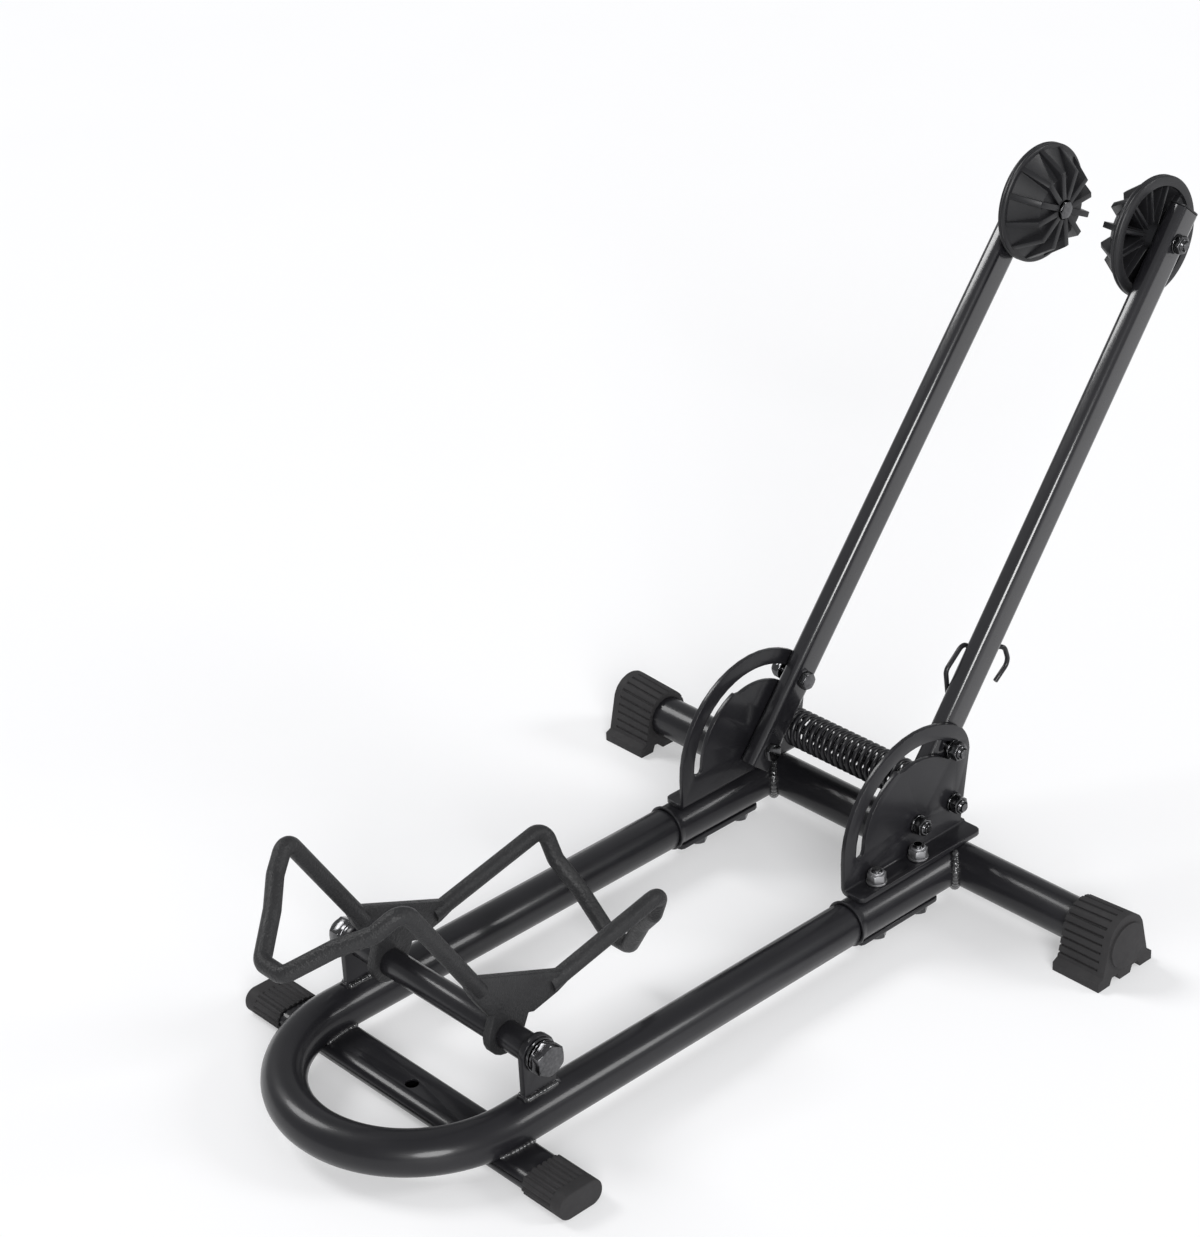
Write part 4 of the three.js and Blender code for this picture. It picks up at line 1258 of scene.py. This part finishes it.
@dataclass
class Cradle:
    """The rocking cradle with its shaft, tubes and wire loops."""

    tilt: float = 23.2
    half_width: float = 47.75
    wire: float = 9.8
    gusset_thickness: float = 5.5
    gusset_half: float = 39.5
    gusset_top: float = 33.5
    # Where the straights of a loop's right half meet, from the gusset to the middle.
    corner: Flat = (94.5, 74.0)
    shoulder: Point = (40.0, 102.8, 57.7)
    waist: Point = (25.4, 112.7, 44.9)
    dip: Point = (8.5, 127.0, 24.0)
    bends: tuple[float, ...] = (7.0, 10.0, 10.0, 7.5)
    tube_radius: float = 8.0
    tab_outer: float = 75.5
    tab_inner: float = 71.5
    body: str = "cradle_body"

    def build(self) -> None:
        """Model and dress the cradle and its shaft."""
        level = shifted(0, *SHAFT)
        tilted = level @ Matrix.Rotation(-math.radians(self.tilt), 4, "X")
        for side in Side:
            Bench.refined(f"{side.word}_gusset", 0.9, WRINKLE_COAT, self.body, 3)
        rear = self.loop()
        front = Bench.copied(rear, "front_cradle_loop_coated")
        about = tilted @ Matrix.Rotation(math.pi, 4, "Z")
        for piece, place, word in ((rear, tilted, "rear"), (front, about, "front")):
            Bench.placed(piece, place, WRINKLE_COAT, self.body, f"{word}_cradle_loop")
        inner = self.half_width - self.gusset_thickness / 2 - GAP
        outer = self.half_width + self.gusset_thickness / 2 + GAP
        middle = self.sleeve("cradle_tube_coated", -inner, inner)
        Bench.placed(middle, tilted, POWDER_COAT, self.body, "cradle_tube")
        for side in Side:
            span = sorted((side.value * outer, side.value * (self.tab_inner - GAP)))
            node = f"{side.word}_spacer"
            Bench.placed(self.sleeve(f"{node}_coated", *span), level, POWDER_COAT, "base", node)
            node = f"{side.word}_shaft_washer"
            place = level @ moved(side.value * (self.tab_outer + GAP), 0, 0) @ facing(side)
            Bench.placed(Fasteners.washer(f"{node}_plated", M10), place, BLACK_ZINC, "base", node)
        self.shaft_bolt(level)

    def shaft_bolt(self, level: Matrix) -> None:
        """The long bolt through the tabs and the cradle, and its nut.

        Args:
            level: matrix of the shaft's middle.
        """
        face = self.tab_outer + 2 * GAP + M10.washer_thickness
        under = M10.washer_thickness * 0.6
        bolt = Fasteners.bolt("bolt", M10, Fasteners.length(M10, 2 * face))
        bore, wide, crown = M10.radius, M10.washer * 0.95, M10.washer * 0.8
        profile = [(bore, 0), (wide, 0), (wide, under * 0.6), (crown, under), (bore, under)]
        flange = Bench.eased(Bench.turned("flange", profile, 56), 0.1, 1)
        whole = Bench.joined("shaft_bolt_plated", [bolt, flange])
        nut = Fasteners.nut("shaft_nut_plated", M10)
        for piece, x, node in ((whole, face + under, "shaft_bolt"), (nut, -face, "shaft_nut")):
            place = level @ moved(x, 0, 0) @ facing(Side.LEFT)
            Bench.placed(piece, place, BLACK_ZINC, "base", node)

    def sleeve(self, name: str, start: float, end: float) -> Piece:
        """A tube along X over the shaft.

        Args:
            name: name of the piece.
            start: x of its left end.
            end: x of its right end.

        Returns:
            The piece, about the origin.
        """
        bore = M10.radius + GAP
        profile = [(bore, start), (self.tube_radius, start), (self.tube_radius, end), (bore, end)]
        tube = Bench.eased(Bench.turned(name, profile, 48), 0.4, 2)
        return Bench.laid(tube, facing(Side.RIGHT))

    def loop(self) -> Piece:
        """One wire loop, drawn level for the rear end of the cradle.

        Returns:
            The loop.
        """
        start = (self.half_width, self.gusset_half - 14, self.gusset_top - self.wire / 2 - 3.5)
        right = [start, (self.half_width, *self.corner), self.shoulder, self.waist, self.dip]
        left = [(-x, y, z) for x, y, z in reversed(right)]
        route = bent(right + left, [*self.bends, *reversed(self.bends)], 10)
        loop = Bench.wire("rear_cradle_loop_coated", route, self.wire / 2, 8)
        return Bench.eased(loop, 1.2, 3, 50)


# ------------------------------------------------------------------ studio


@dataclass
class Studio:
    """Camera, lamps, floor and background."""

    place: Point = (1095.0, -1164.3, 1037.9)
    azimuth: float = 48.633
    elevation: float = 28.793
    roll: float = -3.094
    focal: float = 3143.9
    picture_width: float = 1200.0
    sensor: float = 36.0
    floor_size: float = 30.0
    world: float = 0.4
    world_colour: Colour = (0.97, 0.98, 1.0)
    # Name, direction, spread in degrees and strength.
    lamps: tuple[tuple[str, Point, float, float], ...] = (
        ("left_lamp", (-0.66, -0.2, 0.73), 22.0, 1.2),
        ("right_lamp", (0.66, 0.58, 0.48), 18.0, 0.85),
        ("camera_lamp", (0.75, -0.52, 0.42), 24.0, 2.2),
    )
    floor_white: float = 0.35

    def build(self) -> None:
        """Set up all of the studio."""
        self.camera()
        self.floor()
        self.light()
        bpy.context.scene.view_settings.view_transform = "Standard"

    def camera(self) -> None:
        """The camera at the photograph's place."""
        turn, rise, roll = (math.radians(a) for a in (self.azimuth, self.elevation, self.roll))
        ahead = Vector((-math.sin(turn) * math.cos(rise), math.cos(turn) * math.cos(rise), -math.sin(rise)))
        right = ahead.cross(Vector((0, 0, 1))).normalized()
        up = right.cross(ahead)
        across = right * math.cos(roll) + up * math.sin(roll)
        over = -right * math.sin(roll) + up * math.cos(roll)
        lens = bpy.data.cameras.new("photo_camera")
        lens.sensor_fit = "HORIZONTAL"
        lens.sensor_width = self.sensor
        lens.lens = self.focal / self.picture_width * self.sensor
        camera = bpy.data.objects.new("photo_camera", lens)
        bpy.context.scene.collection.objects.link(camera)
        place = Bench.layout() @ (Vector(self.place) * MM)
        basis = Matrix((across, over, -ahead)).transposed().to_4x4()
        camera.matrix_world = Matrix.Translation(place) @ basis
        bpy.context.scene.camera = camera

    def floor(self) -> None:
        """A pale floor that reads as white and keeps the rack's shadow."""
        Bench.clear()
        bpy.ops.mesh.primitive_plane_add(size=self.floor_size)
        floor = bpy.context.active_object
        floor.name = floor.data.name = "studio_floor"
        floor.data.materials.append(self.whitened(PALE_FLOOR.material()))

    def whitened(self, material: bpy.types.Material) -> bpy.types.Material:
        """Lift the floor towards white where the camera or a reflection sees it.

        Args:
            material: the floor's material.

        Returns:
            The same material. Its shadows stay.
        """
        tree = material.node_tree
        output = tree.nodes["Material Output"]
        ray = tree.nodes.new("ShaderNodeLightPath")
        seen = ray.outputs["Is Camera Ray"]
        for kind in ("Is Glossy Ray", "Is Transmission Ray"):
            either = tree.nodes.new("ShaderNodeMath")
            either.operation = "MAXIMUM"
            tree.links.new(seen, either.inputs[0])
            tree.links.new(ray.outputs[kind], either.inputs[1])
            seen = either.outputs["Value"]
        share = tree.nodes.new("ShaderNodeMath")
        share.operation = "MULTIPLY"
        share.inputs[1].default_value = self.floor_white
        tree.links.new(seen, share.inputs[0])
        white = tree.nodes.new("ShaderNodeEmission")
        white.inputs["Strength"].default_value = 1.0
        mix = tree.nodes.new("ShaderNodeMixShader")
        tree.links.new(share.outputs["Value"], mix.inputs["Fac"])
        tree.links.new(tree.nodes["Principled BSDF"].outputs["BSDF"], mix.inputs[1])
        tree.links.new(white.outputs["Emission"], mix.inputs[2])
        tree.links.new(mix.outputs["Shader"], output.inputs["Surface"])
        return material

    def light(self) -> None:
        """Distant soft lamps and an even world."""
        for name, towards, spread, power in self.lamps:
            data = bpy.data.lights.new(name, "SUN")
            data.angle = math.radians(spread)
            data.energy = power
            lamp = bpy.data.objects.new(name, data)
            bpy.context.scene.collection.objects.link(lamp)
            lamp.rotation_euler = Vector(towards).to_track_quat("Z", "Y").to_euler()
        world = bpy.data.worlds.new("studio")
        bpy.context.scene.world = world
        world.use_nodes = True
        tree = world.node_tree
        backdrop = tree.nodes["Background"]
        backdrop.inputs["Color"].default_value = (*self.world_colour, 1.0)
        backdrop.inputs["Strength"].default_value = self.world


# ------------------------------------------------------------------ main


def main() -> None:
    """Load the frame, take the layout from the rear cross tube's box, and build the pieces and the studio.
    """
    logging.basicConfig(level=logging.INFO, format="%(message)s")
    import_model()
    low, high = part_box("rear_cross_tube")
    Bench.rear_axis = (low.y + high.y) / 2
    BaseFrame().build()
    BaseFasteners().build()
    Arms().build()
    Cradle().build()
    Studio().build()


if __name__ == "__main__":
    main()
